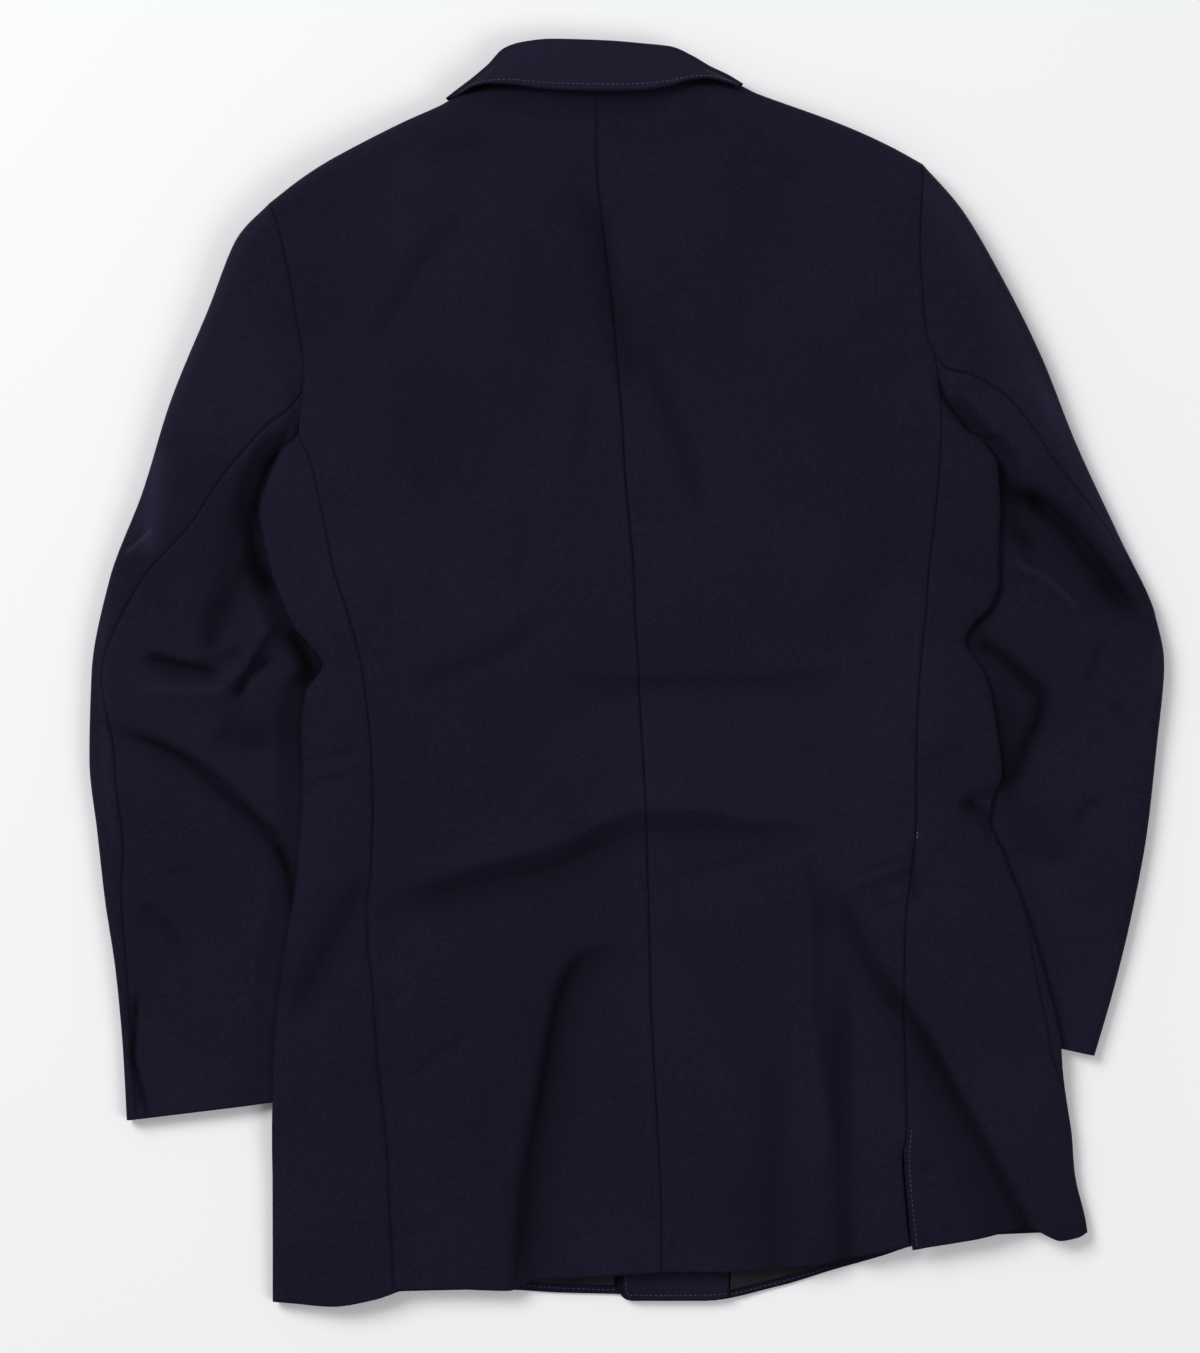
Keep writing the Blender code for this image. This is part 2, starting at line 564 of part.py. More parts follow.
def sleeve_point(side, way, s):
    """A point of the sleeve's outer surface: way 0 to 1 runs from the outer edge over the top to the
    inner edge, and 1 to 2 back along the underside."""
    outer_x, outer_y, inner_x, inner_y, own, _ = sleeve_rows[side](s)
    outer, inner = Vector((outer_x, outer_y)), Vector((inner_x, inner_y))
    width = (inner - outer).length
    roll = own / 2
    half = width - 2 * roll + pi * roll
    below = way > 1
    arc = ((2 - way) if below else way) * half
    if arc < roll * pi / 2:
        p, share = roll * (1 - cos(arc / roll)), sin(arc / roll)
    elif arc > half - roll * pi / 2:
        left = (half - arc) / roll
        p, share = width - roll * (1 - cos(left)), sin(left)
    else:
        p, share = roll + arc - roll * pi / 2, 1.0
    p /= width
    hole = ARMHOLE_RINGS[side]
    bow = hole(p) - hole(0).lerp(hole(1), p)
    x, y = outer.lerp(inner, p) + bow * (1 - smooth(s / 0.3))
    height = sleeve_height(side, x, y, s, own)
    return Vector((x, y, height * (0.5 + (-0.5 if below else 0.5) * share)))


ARMHOLE_RINGS = {
    side: Path([(x + SIDES[side] * ARMHOLE_SEAM / 2, y) for x, y in points[:-1]]
               + [(sleeve_rows[side](0)[2], sleeve_rows[side](0)[3])])
    for side, points in (("left", LEFT_ARMHOLE), ("right", RIGHT_ARMHOLE))
}
FORE_SEAM = 1.3        # where the forearm seam runs, under the sleeve


def sleeve_surface(side, part):
    """One of the two sleeve pieces between the hind-arm seam on top and the forearm seam below."""
    def surface(u, v):
        row = sleeve_rows[side](v)
        hind, around = row[5], 2 * (Vector(row[0:2]) - Vector(row[2:4])).length
        gap = SLEEVE_SEAM / around
        if part == "under":
            start, turn, end, at = hind + gap, 1.0, FORE_SEAM - 2 * gap, UNDER_TURN
        else:
            start, turn, end, at = FORE_SEAM + gap, 1.75 + 0.25 * smooth(hind / 0.3), 2 + hind - gap, UPPER_TURN
        way = lerp(start, turn, u / at) if u < at else lerp(turn, end, (u - at) / (1 - at))
        return sleeve_point(side, way % 2, v)

    return surface


# ------------------------------------------------------------------ the collar and the buttons
collar_of = Curve([(i / (len(COLLAR) - 1), *row) for i, row in enumerate(COLLAR)])


def collar_surface(u, v):
    """The collar's outer side, from the stand's seam (u 0) round the fold to the leaf's edge (u 1)."""
    fold_x, fold_y, leaf_x, leaf_y, leaf_z, stand_x, stand_y, stand_z = collar_of(v)
    fold, leaf, stand = Vector((fold_x, fold_y)), Vector((leaf_x, leaf_y)), Vector((stand_x, stand_y))
    out = (fold - (leaf + stand) / 2).normalized()
    centre = fold - out * COLLAR_ROLL
    centre_z = stand_z + COLLAR_ROLL + 0.8 + (leaf_z - stand_z) * 0.12
    if u < 0.25:
        t = u / 0.25
        plan, z = stand.lerp(centre, t), lerp(stand_z, centre_z - COLLAR_ROLL, t)
    elif u < 0.55:
        angle = pi * (u - 0.25) / 0.3
        plan, z = centre + out * COLLAR_ROLL * sin(angle), centre_z - COLLAR_ROLL * cos(angle)
    else:
        t = (u - 0.55) / 0.45
        plan, z = centre.lerp(leaf, t), lerp(centre_z + COLLAR_ROLL, leaf_z, t) + 2.2 * sin(pi * t) * (1 - t)
    return Vector((*plan, z))


def make_button(name, x, y, finish, group):
    """A flat button with a rounded rim, lying on the table under the left front."""
    mesh = bmesh.new()
    bmesh.ops.create_cone(mesh, cap_ends=True, segments=20, radius1=BUTTON_RADIUS * MM,
                          radius2=BUTTON_RADIUS * MM, depth=BUTTON_HEIGHT * MM)
    rims = [edge for edge in mesh.edges if abs(edge.verts[0].co.z - edge.verts[1].co.z) < 1e-7]
    bmesh.ops.bevel(mesh, geom=rims, offset=0.7 * MM, segments=2, affect="EDGES")
    bmesh.ops.translate(mesh, verts=mesh.verts[:], vec=Vector((x, y, BUTTON_HEIGHT / 2)) * MM)
    finish_object(name, mesh, finish, group)


def main():
    clear_scene()
    group = bpy.data.collections.new("suit_jacket")
    bpy.context.scene.collection.children.link(group)
    navy = material("navy_wool", NAVY, 0.85)
    lining = material("lining_twill", LINING, 0.5)
    horn = material("dark_horn", HORN, 0.35)

    for side in SIDES:
        turn = SIDES[side]
        wall("back_" + side, back_surface(side), BACK_ACROSS, BACK_ALONG, -turn, navy, group, square="u0")
        wall("side_" + side, side_surface(side), SIDE_ACROSS, SIDE_ALONG, turn, navy, group)
        wall("front_" + side, front_surface(side), FRONT_ACROSS, BACK_ALONG, turn, navy, group)
        wall("lapel_" + side, lapel_surface(side), even(4), even(9), -turn, navy, group)
        wall("collar_end_" + side, collar_end_surface(side), even(3), even(4), -turn, navy, group)
        for part, across in SLEEVE_ACROSS.items():
            name = "sleeve_" + part + "_" + side
            wall(name, sleeve_surface(side, part), across, SLEEVE_ALONG, turn, navy, group, square="v0")
    wall("collar", collar_surface, COLLAR_ACROSS, even(24), 1, navy, group)
    facing = hem_strip_surface("right", FRONT_EDGE["right"] + 3.0, 66.0, 1.0)
    wall("facing_right", facing, even(6), even(4), 1, navy, group, STRIP_CLOTH)
    wall("lining_left", hem_strip_surface("left", -67.0, -9.0, 6.0), even(5), even(4), 1, lining, group, STRIP_CLOTH)
    wall("lining_right", hem_strip_surface("right", 67.0, 128.0, 6.0), even(5), even(4), 1, lining, group, STRIP_CLOTH)
    for name, (x, y) in BUTTONS.items():
        make_button(name, x, y, horn, group)


if __name__ == "__main__":
    main()
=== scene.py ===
from math import pi, radians

import bpy
import numpy as np
from bpy.props import FloatProperty, FloatVectorProperty, PointerProperty
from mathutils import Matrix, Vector


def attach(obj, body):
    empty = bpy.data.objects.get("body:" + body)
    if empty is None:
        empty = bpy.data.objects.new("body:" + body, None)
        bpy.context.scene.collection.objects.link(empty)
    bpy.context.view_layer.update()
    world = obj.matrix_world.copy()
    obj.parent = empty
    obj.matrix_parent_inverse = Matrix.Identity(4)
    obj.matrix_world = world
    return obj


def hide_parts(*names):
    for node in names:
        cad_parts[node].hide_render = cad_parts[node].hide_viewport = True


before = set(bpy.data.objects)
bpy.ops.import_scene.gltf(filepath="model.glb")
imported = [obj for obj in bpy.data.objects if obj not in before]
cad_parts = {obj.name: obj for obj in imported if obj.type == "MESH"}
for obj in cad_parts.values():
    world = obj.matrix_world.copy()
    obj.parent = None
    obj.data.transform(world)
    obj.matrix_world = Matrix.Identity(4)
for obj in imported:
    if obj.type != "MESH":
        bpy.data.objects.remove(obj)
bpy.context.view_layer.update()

bl_info = {
    "name": "Suit jacket",
    "version": (1, 0, 0),
    "blender": (4, 5, 0),
    "location": "3D View > Sidebar > Jacket",
    "description": "Dresses the laid suit jacket: wool panels, seams, vents, collar, stitching and stage",
    "category": "Object",
}

MM = 0.001
CLOTH = "_cloth"       # ending of the name of a piece of cloth, after its solid's name

# ------------------------------------------------------------------ sizes of the laid jacket, in millimetres
ROLL = 11.0            # reach of the roll at the body's side edge
SHOULDER_ROLL = 12.0   # reach of the roll along the shoulder
PLY = 2.4              # one layer lying on another
SLEEVE_UNDER = 7.4     # height of a sleeve where the body lies on it
LIFT = 8.2             # height of the body's underside over a sleeve
LIFT_RAMP = 26.0       # distance over which the underside comes down beside a sleeve
LIFT_MARGIN = 13.0     # how far past the sleeve's edge it stays lifted
SEAM = 0.08            # gap between two panels at a seam

# Silhouette of the body on each side, from the underarm to the hem: (y, left_x, right_x).
EDGE = [
    (260, -270, 262), (225, -246, 232), (183, -228, 206), (170, -223, 211), (157, -219, 220), (150, -223, 230),
    (136, -229, 240), (124, -234, 241), (105, -239, 242), (76, -234, 241), (59, -229, 241),
    (44, -223, 236), (29, -216, 222), (20, -208, 219), (5, -198, 229), (-13, -209, 236),
    (-38, -212, 240), (-66, -211, 243), (-77, -211, 239), (-86, -211, 236), (-97, -212, 236),
    (-110, -213, 241), (-133, -215, 250), (-148, -217, 256), (-175, -222, 265), (-207, -226, 274),
    (-237, -229, 281), (-262, -230, 283), (-300, -231, 289), (-325, -231, 291), (-361, -231, 299),
    (-412, -231, 304),
]
# Seams that run down the back: (y, left_side_seam_x, centre_seam_x, right_side_seam_x).
SEAMS = [
    (388, -219, -20, 203), (327, -219, -20, 203), (297, -219, -17, 203), (231, -219, -9, 203),
    (181, -219, -5, 203), (157, -214, -3, 203), (135, -205, -2, 202), (100, -197, 1, 199),
    (66, -190, 4, 195), (35, -180, 5, 193), (7, -173, 7, 190), (-20, -169, 8, 188),
    (-53, -166, 10, 187), (-90, -165, 12, 187), (-127, -166, 13, 184), (-162, -166, 14, 180),
    (-207, -162, 15, 179), (-250, -159, 17, 180), (-307, -153, 20, 181), (-351, -151, 22, 184),
    (-412, -148, 22, 192),
]
# Seam between side body and front, as a run round the edge from the silhouette: (y, left_run, right_run).
FRONT_SEAM = [
    (170, -15, -15), (60, -28, -26), (-60, -30, -24), (-120, -30, -9), (-142, -30, 2), (-203, -30, 13),
    (-240, -30, 14), (-262, -30, 9), (-282, -30, -2), (-330, -28, -14), (-412, -26, -16),
]
# Height of the back above the table: (y, middle, at_the_side_seams).
HEIGHT = [
    (376, 20, 24), (340, 21, 26), (280, 20, 22), (200, 19, 19), (100, 18, 18), (0, 17, 18),
    (-110, 17, 18), (-250, 16, 18), (-340, 14, 16), (-410, 12, 14),
]
# Sleeves from the armhole to the cuff:
# (outer_x, outer_y, inner_x, inner_y, height, hind_seam as a share of the way across the top).
LEFT_SLEEVE = [
    (-233, 305, -217, 156, 22, 0.79), (-253, 284, -220, 143, 24, 0.77), (-273, 235, -226, 120, 22, 0.66),
    (-297, 176, -226, 90, 20, 0.52), (-315, 118, -221, 58, 18, 0.36), (-337, 60, -203, 22, 16, 0.16),
    (-348.5, 0, -188, -20, 15, 0.07), (-350, -55, -181, -66, 14, 0.12), (-345, -103, -180, -108, 13, 0.12),
    (-340, -148, -181, -148, 12, 0.09), (-333, -195, -183, -190, 11, 0.07),
    (-328.5, -245, -185, -234, 10, 0.06), (-326, -291, -187, -274, 10, 0.07),
]
RIGHT_SLEEVE = [
    (192.5, 330, 204, 180, 22, 0.80), (217, 302, 210, 163, 24, 0.73), (245, 254, 222, 150, 22, 0.60),
    (269, 205, 232, 136, 20, 0.47), (291, 150, 236, 108, 18, 0.30), (319, 90, 232, 72, 16, 0.10),
    (343, 38, 220, 36, 15, 0.03), (349, 4, 204, -2, 14, 0.0), (344, -50, 188, -44, 13, 0.0),
    (338, -104, 179, -91, 12, 0.0), (328, -158, 173, -137, 11, 0.0), (317, -204, 170, -181, 10, 0.0),
    (304, -249, 169, -221, 10, 0.0),
]
# Shoulder and neck edge of the back, and the armholes, from the shoulder point down.
LEFT_TOP = [
    (-232, 305), (-211, 321), (-190, 334.3), (-148, 356.3), (-121, 368.6), (-112, 374), (-104, 378.5), (-90, 382.5),
    (-66, 385.5), (-20, 387),
]
RIGHT_TOP = [
    (191, 330), (171, 341), (150, 351), (128, 360), (84, 376), (74, 381), (64, 385), (46, 387), (24, 387.5),
    (-20, 387),
]
LEFT_ARMHOLE = [(-232, 305), (-225, 284), (-219, 257), (-214, 227), (-210, 200), (-211, 178), (-214, 157)]
RIGHT_ARMHOLE = [(191, 330), (190, 302), (189, 276), (191, 248), (193, 223), (199, 204), (203, 181)]
LEFT_HEM = [(-149, -400), (-110, -400), (-75, -401), (-58, -394), (-6, -391), (22, -389)]
RIGHT_HEM = [(188, -372), (167, -376), (147, -380), (128, -384), (100, -387), (67, -389), (22, -389)]
# Hems of the side bodies: (share of the way round, y).
SIDE_HEMS = {
    "left": [(0.0, -400), (0.18, -407), (0.4, -411), (0.7, -409), (1.0, -411)],
    "right": [(0.0, -374), (0.3, -367.5), (0.565, -360.8), (0.61, -362.5), (0.655, -366), (0.705, -368.6),
              (0.795, -366.6), (0.86, -364), (1.0, -364)],
}
# Front hems and front edges, seen from above: the left front closes below, the right front above.
FRONT_HEMS = {
    "left": [(-205, -411), (-165, -406), (-136, -403), (-75, -402), (-36, -404), (6, -405), (36, -406)],
    "right": [(292, -364), (227, -367), (189, -373), (167, -380), (135, -389), (98, -400), (50, -409), (3, -409)],
}
FRONT_EDGE = {"left": 36.0, "right": -6.0}     # x of the front edges, which overlap below the buttons
BREAK_Y = -40.0                                # where the lapels start to roll, just above the top button
BREAK_X = 12.0
NECK = {"left": (-108.0, 370.0), "right": (68.0, 378.0)}   # where the neck meets the shoulder
LAPEL_WIDTH = 82.0
GORGE_Y = 262.0                                # seam between lapel and collar end
COLLAR_END_Y = 342.0
COLLAR_END_WIDTH = 40.0
HEM_STRIP = 52.0                               # how far facing and lining reach up from the hem
RAISED_FROM_Y = -262.0                         # above here the fronts lie on the buttons and lapels

# Collar sections from the left end round the back neck to the right end, on its outer surface:
# (fold_x, fold_y, leaf_x, leaf_y, leaf_z, stand_x, stand_y, stand_z).
COLLAR = [
    (-118, 373, -113, 372, 16, -112, 373.5, 7), (-110, 379, -106, 377, 21, -104, 376.5, 8),
    (-103, 384, -99, 380, 24, -97, 379.5, 9), (-91, 394, -90, 381, 26, -86, 384, 9),
    (-80, 405, -74, 380, 27, -72, 387, 9), (-68, 409, -60, 378, 27, -60, 387.5, 9),
    (-48, 411, -44, 376.5, 27, -44, 387.9, 9), (-15, 410, -14, 376, 27, -14, 388, 9),
    (10, 408, 8, 376.5, 27, 8, 387.8, 9), (28, 406, 26, 379, 27, 24, 387.4, 9),
    (42, 400, 40, 383, 27, 38, 386.2, 9), (54, 393, 52, 384.5, 26.5, 49, 387.5, 9),
    (65, 388, 63, 382.5, 26, 60, 385.5, 8), (75, 382, 72, 379.5, 24, 71, 382.5, 8),
]
COLLAR_ROLL = 3.3      # outer radius of the collar's fold
STRIP_CLOTH = 1.4      # thickness of facing and lining
STRIP_GAP = 0.75       # their clearance over the front
SOLID_CLOTH = 2.0      # thickness of the solids' cloth

# ------------------------------------------------------------------ how the cloth lies, in millimetres and shares
UNDERARM_SHARE = 22 / 30               # share of the way up a back panel at which its side seam meets the armhole
FORE_SEAM = 1.3                        # where the forearm seam runs, under the sleeve
DITCH_WIDTH, DITCH_DEPTH = 1.2, 0.8    # dip of the cloth into a pressed seam
ARMHOLE_DITCH_OUT, ARMHOLE_DITCH_IN, ARMHOLE_DITCH_DEPTH = 1.6, 1.2, 0.6    # its dip at the armholes
EDGE_DROP, EDGE_REACH = 4.0, 42.0      # how the back sinks towards the body's side edges
EDGE_DROP_Y, EDGE_DROP_EASE = 150.0, 60.0                  # below this height on the jacket, and over how much
RAISED_EASE = 70.0                     # distance over which the fronts rise onto buttons and lapels
LAPEL_CLEAR, LAPEL_EASE = 12.0, 50.0   # how far past a lapel its front stays up, and over how much it comes down
OVERLAP_CLEAR, OVERLAP_EASE, OVERLAP_ABOVE = 10.0, 60.0, 40.0     # the same for the right front on the left one
BREAK_BELOW, BREAK_EASE = 12.0, 40.0   # where the front's edge turns into the roll line
LAPEL_CURVE, LAPEL_LEAST = 0.9, 0.05   # how the lapel widens, and its width at the foot as a share of the most
LAPEL_FOOT, GORGE_SLANT, ROLL_CLEAR = 6.0, 12.0, 1.5       # start above the break, rise to the edge, roll's gap
COLLAR_STAND, COLLAR_LEAN = 0.8, 0.12  # how the collar's fold rises above its stand and leaf
COLLAR_HIGHLIGHT = -0.07                   # painted highlight: the collar is painted a little lighter than the back
CREASE_FULL, CREASE_MOST = 26.0, 0.30  # painted shade in creases: depth at which a crease would be painted black, and the most it is darkened
WAIST_TACK = (187.5, -104.7)           # middle of the small tack at the right waist
HEM_STITCH_ABOVE = 2.6                 # how far above the hem its stitches run
VENT_TOP = {"left": -127.0, "right": -295.0}
VENT_EASE = 22.0                       # distance over which a vent opens
VENT_REACH = 7.0                       # how far from its edge a vent's lift reaches
VENT_LAP = {"left": (2.6, 4.0), "right": (-3.0, 2.2)}      # how far back and side body reach past the vent's line
VENT_RISE = {"left": (1.5, -1.0), "right": (-1.0, 1.7)}    # lift of back and side body at the vent

SLACK_WAVES, SLACK_SHORT, SLACK_LONG = 9, 50, 180          # number and lengths of the waves of relaxed cloth
BODY_SLACK, SLEEVE_SLACK, COLLAR_SLACK = (3, 0.55), (5, 0.5), (7, 0.25)    # seed and depth
STRIP_SLACK_SEED, STRIP_SLACK_SCALE = 9, 3.0               # the strips ripple in waves a third as long
FOLD_REACH, FOLD_POWER = 2.6, 1.5      # a fold is nil past so many widths, and how fast it fades across
FOLD_TAPER, FOLD_BLUNT = 4.0, 0.12     # how fast it rises along its line, and how blunt its ends are
HALF_CHEST = 200.0                     # distance from the centre seam at which the back has its edge height
UNDERARM_EASE = 26.0                   # distance over which body and sleeve part below the underarm
CUFF_CLEAR, CUFF_EASE = 42.0, 30.0     # where the body comes off the sleeve above the cuff
JOINED_SHARE, BOW_SHARE = 0.16, 0.3    # shares of a sleeve that take the body's height and the armhole's bow
SINK_FROM, SINK_EASE = 19.0, 16.0      # distance from the body's edge at which a sleeve starts to sink, and the ease
SLEEVE_LEAST = (7.0, 4.5)              # height below which a sleeve flattens, and the least it comes to
FRONT_ROUND = 9.0                      # radius of a front's corner at the hem
COLLAR_RISE, COLLAR_TURN = 0.25, 0.3   # shares of the collar that rise from the seam and turn over the fold
LEAF_BULGE = 2.2                       # how far the collar's leaf stands out from a straight fall
CUT_NEAR_SEAM = 0.8                    # how far from a panel's edge the painted shade along seams and edges reaches
LIFT_STITCH = 0.05                     # how far hem stitches stand above the cloth
TACK_HALF, TACK_ABOVE = 2.4, 0.3       # half length of the waist tack, and how far it stands above the back
WAVE_REPEAT = 0.314                    # a wave texture of scale 1 repeats every 0.314 of its space
PAINTED_HIGHLIGHT_GAIN = (4.2, 4.4, 4.0)            # how much lighter than the wool the painted highlight on its rolled edges and collar is, by channel
STITCH_COLLAR, STITCH_VENT = 0.945, 0.024      # shares across collar and side body at which the stitches run

# Lengths over which the panels' points are spread.
BACK_WIDTH, BACK_SEAM = 190.0, 558.0   # half back, and its seam from the hem to the underarm
SIDE_WIDTH, SIDE_LENGTH = 112.0, 560.0
FRONT_WIDTH, ARMHOLE_LENGTH = 260.0, 226.0
SLEEVE_ROUND, SLEEVE_LENGTH = {"upper": 240.0, "under": 200.0}, 600.0
LEAF_WIDTH, COLLAR_LENGTH, LAPEL_LENGTH = 30.0, 215.0, 300.0
STRIP_STEP = 1.6                       # distance between points on facing and lining

# Folds: (line, width to its left, width to its right, height); the lines run as the cloth creases.
BODY_FOLDS = [
    # trough right of the centre seam
    ([(-34.2, 312), (-16, 285.4), (-10.1, 249), (-3, 219.7), (8.1, 180.7)], 7, 10, -4.75),
    ([(10.7, 219.7), (25.6, 177.5), (40.6, 138.5), (52.3, 94.2)], 6, 9, -3.0),  # its lower branch
    ([(-105.7, 297.1), (-132.3, 263.9), (-165.5, 207.3)], 8, 8, -2.38),  # left shoulder blade
    ([(-144.7, 177.5), (-133.6, 139.8), (-121.9, 100.1)], 5, 7, -1.62),
    ([(-21.8, 189.8), (-26.4, 158), (-32.9, 124.2)], 5, 5, -1.75),
    ([(-64.1, 115), (-66, 83.2), (-71.2, 52)], 5, 5, -1.38),
    ([(-51.7, 34.5), (-84.9, 10.4), (-123.9, -4.5), (-132.3, -19.5)], 5, 8, -2.5),  # slack over the left waist
    ([(-40.7, -4.5), (8.1, -7.2), (73.1, -6.5), (136.8, -2)], 5, 9, -3.25),  # level crease over the waist
    ([(132.9, 37.1), (153.7, 48.8), (175.1, 58.5)], 8, 8, -1.38),
    ([(-120.6, 339.9), (-105.7, 342.6), (-90.7, 346.4)], 8, 8, -1.25),  # below the left neck
    ([(-95.9, 364.7), (-43.9, 360.1), (-4.9, 360.1), (37.3, 367.2)], 4, 6, -1.62),  # below the collar
    # ridge of the big waist fold
    ([(-164.2, -141.1), (-123.9, -130.7), (-82.3, -120.2), (-43.9, -109.9), (-16, -96.2), (12, -87.1),
      (50.3, -87.1), (77.6, -94.2), (109.5, -96.2), (130.3, -106.6), (147.8, -124.2)], 9, 6, 4.5),
    ([(-164.2, -152.8), (-123.9, -143.7), (-82.3, -134.6), (-43.9, -125.5), (-16, -112.5), (12, -103.4),
      (50.3, -102.7), (77.6, -108.5), (109.5, -109.9)], 7, 14, -4.75),  # its dark foot
    ([(18.5, -134.6), (60.7, -125.5), (91.9, -115)], 4, 6, -2.0),
    ([(12, -179.4), (-16, -181.3), (-36.8, -193.7), (-47.2, -228.2), (-54.3, -270.4), (-61.5, -304.9),
      (-66.7, -339.9), (-69.9, -384.8), (-73.8, -427.1)], 14, 4.5, -7.5),  # bend from the waist to the hem
    ([(109.5, -113.1), (119.2, -158.6), (117.9, -200.2), (123.1, -252.9), (130.3, -304.9),
      (130.3, -322.4)], 7, 8, 4.75),  # standing fold over the right hip
    ([(140, -186.6), (139.4, -264.6), (140.7, -319.8), (142, -374.4), (143.3, -420.6)], 6, 9, -5.25),
    ([(96.5, -238.6), (95.2, -319.8), (95.2, -363.4), (95.2, -414.1)], 11, 11, -3.0),
    ([(136.8, -141.1), (154.3, -180.1), (168.6, -206.1), (180.3, -225.6)], 4, 8, -3.75),
    ([(147.8, -130.7), (166, -125.5), (184.2, -119)], 3, 4, -1.62),
    ([(158.2, -153.4), (169.3, -151.5), (180.3, -148.2)], 3, 3, -1.38),
    ([(112.7, -43.6), (134.2, -63.1), (154.3, -85.8)], 4, 5, -1.62),
    ([(130.3, -89), (140.7, -94.2), (151.1, -99.5)], 3, 3, -1.5),
    ([(164.1, -189.8), (196.6, -242.5), (217.4, -280.8), (238.2, -319.2), (261.6, -363.4),
      (281.1, -401.1)], 3.5, 13, -5.25),  # slanting trough over the right side body
    ([(189.4, -325.7), (196.6, -321.1), (203.1, -315.2)], 3, 3, -1.62),
    # valley of the left side body
    ([(-169.4, -130.7), (-186.9, -165.8), (-203.8, -200.2), (-218.1, -235.3)], 7, 10, -4.5),
    ([(-141.4, -204.1), (-147.9, -209.3), (-155.1, -214.5)], 3, 3, -1.62),
    ([(-141.4, -263.2), (-120, -246.3), (-99.8, -232.1)], 4, 6, -2.12),
    ([(-211, -57.9), (-191.5, -54.6), (-172.6, -50.7)], 4, 4, -2.25),  # fan at the left waist
    ([(-209, -76), (-189.5, -68.2), (-175.2, -67)], 3, 5, -1.5),
    ([(186.2, -61.1), (203.7, -55.2), (220.6, -47.5)], 4, 4, -2.0),  # right waist
    # fold that runs in from the right edge
    ([(214.8, -84.5), (225.8, -88.4), (236.9, -99.5), (243.4, -112.5)], 4, 7, -5.62),
    ([(246, -73.5), (231.7, -80.6), (217.4, -83.9)], 4, 4, -3.0),
]
LEFT_SLEEVE_FOLDS = [
    ([(-314.3, 11.7), (-294.2, 4.5), (-261.7, -2)], 3, 6, -7.36),  # crease over the elbow
    ([(-318.9, -5.9), (-294.2, -9.8), (-269.5, -10.4), (-251.9, -3.2), (-237, 21.4),
      (-222, 39)], 5, 7, 5.76),  # its lower lip
    ([(-254.5, -18.2), (-246.7, -3.2), (-229.8, 11.7)], 4, 4, -6.4),
    ([(-269.5, 47.5), (-268.8, 27.9), (-269.5, 8.5)], 7, 7, -2.56),
    ([(-329.3, -37.7), (-294.2, -52.6), (-269.5, -67.6), (-244.8, -92.3), (-224.6, -112.5),
      (-219.4, -132.6), (-218.1, -145)], 3, 9, -7.04),  # long fold from the elbow to the body
    ([(-302, -132.6), (-292.2, -130), (-281.8, -127.4)], 3, 3, -2.08),
    ([(-316.9, -149.5), (-300.7, -164.5), (-284.4, -182)], 4, 7, -2.88),
    ([(-235, 151.5), (-248.7, 106), (-259.7, 54), (-267.5, 15)], 11, 11, -4.8),  # valley beside the body
    ([(-325.4, 78), (-316.9, 85.2), (-309.1, 93)], 3, 3, -2.08),
    ([(-268.2, -39), (-248.7, -48.8), (-229.2, -46.1)], 9, 9, -3.84),
    ([(-222, 73.5), (-215.5, 41), (-205.1, 5.9)], 8, 6, -4.0),
    ([(-318.2, -206.7), (-320.2, -236.6), (-320.8, -249.6), (-318.2, -261.9), (-313, -280.8),
      (-311.1, -289.9)], 0.9, 3.5, -3.52),  # edge of the cuff vent
]
RIGHT_SLEEVE_FOLDS = [
    # trough across the elbow
    ([(252.5, 120.9), (275.2, 104.7), (296, 83.9), (316.8, 54.6), (333.1, 33.1)], 5, 9, -10.4),
    ([(242.7, 73.5), (268.1, 63.7), (298.6, 33.8)], 7, 7, 6.24),  # ridge below it
    ([(242.1, 102), (255.1, 83.2), (266.1, 65.7)], 7, 7, -6.72),  # pit beside the body
    ([(221.3, 24.7), (241.4, 11.1), (257.7, -3.2), (271.3, -16.9), (268.7, -31.2), (262.2, -42.9),
      (255.1, -63.7), (247.9, -75.4)], 3, 6, -6.08),  # hooked crease
    ([(308.4, 20.2), (304.5, 7.2), (299.3, -5.2)], 3, 3, -2.08),
    ([(244.7, -17.6), (247.3, -50.1), (250.5, -77.4)], 7, 7, -4.16),
    ([(312.9, -19.5), (322.7, -27.9), (331.8, -35.8)], 3, 3, -2.08),
    ([(306.4, -80), (297.3, -90.4), (287.6, -100.8)], 4, 4, -2.08),
    ([(247.9, -112.5), (268.1, -119.6), (287.6, -124.2)], 4, 4, -2.4),
]
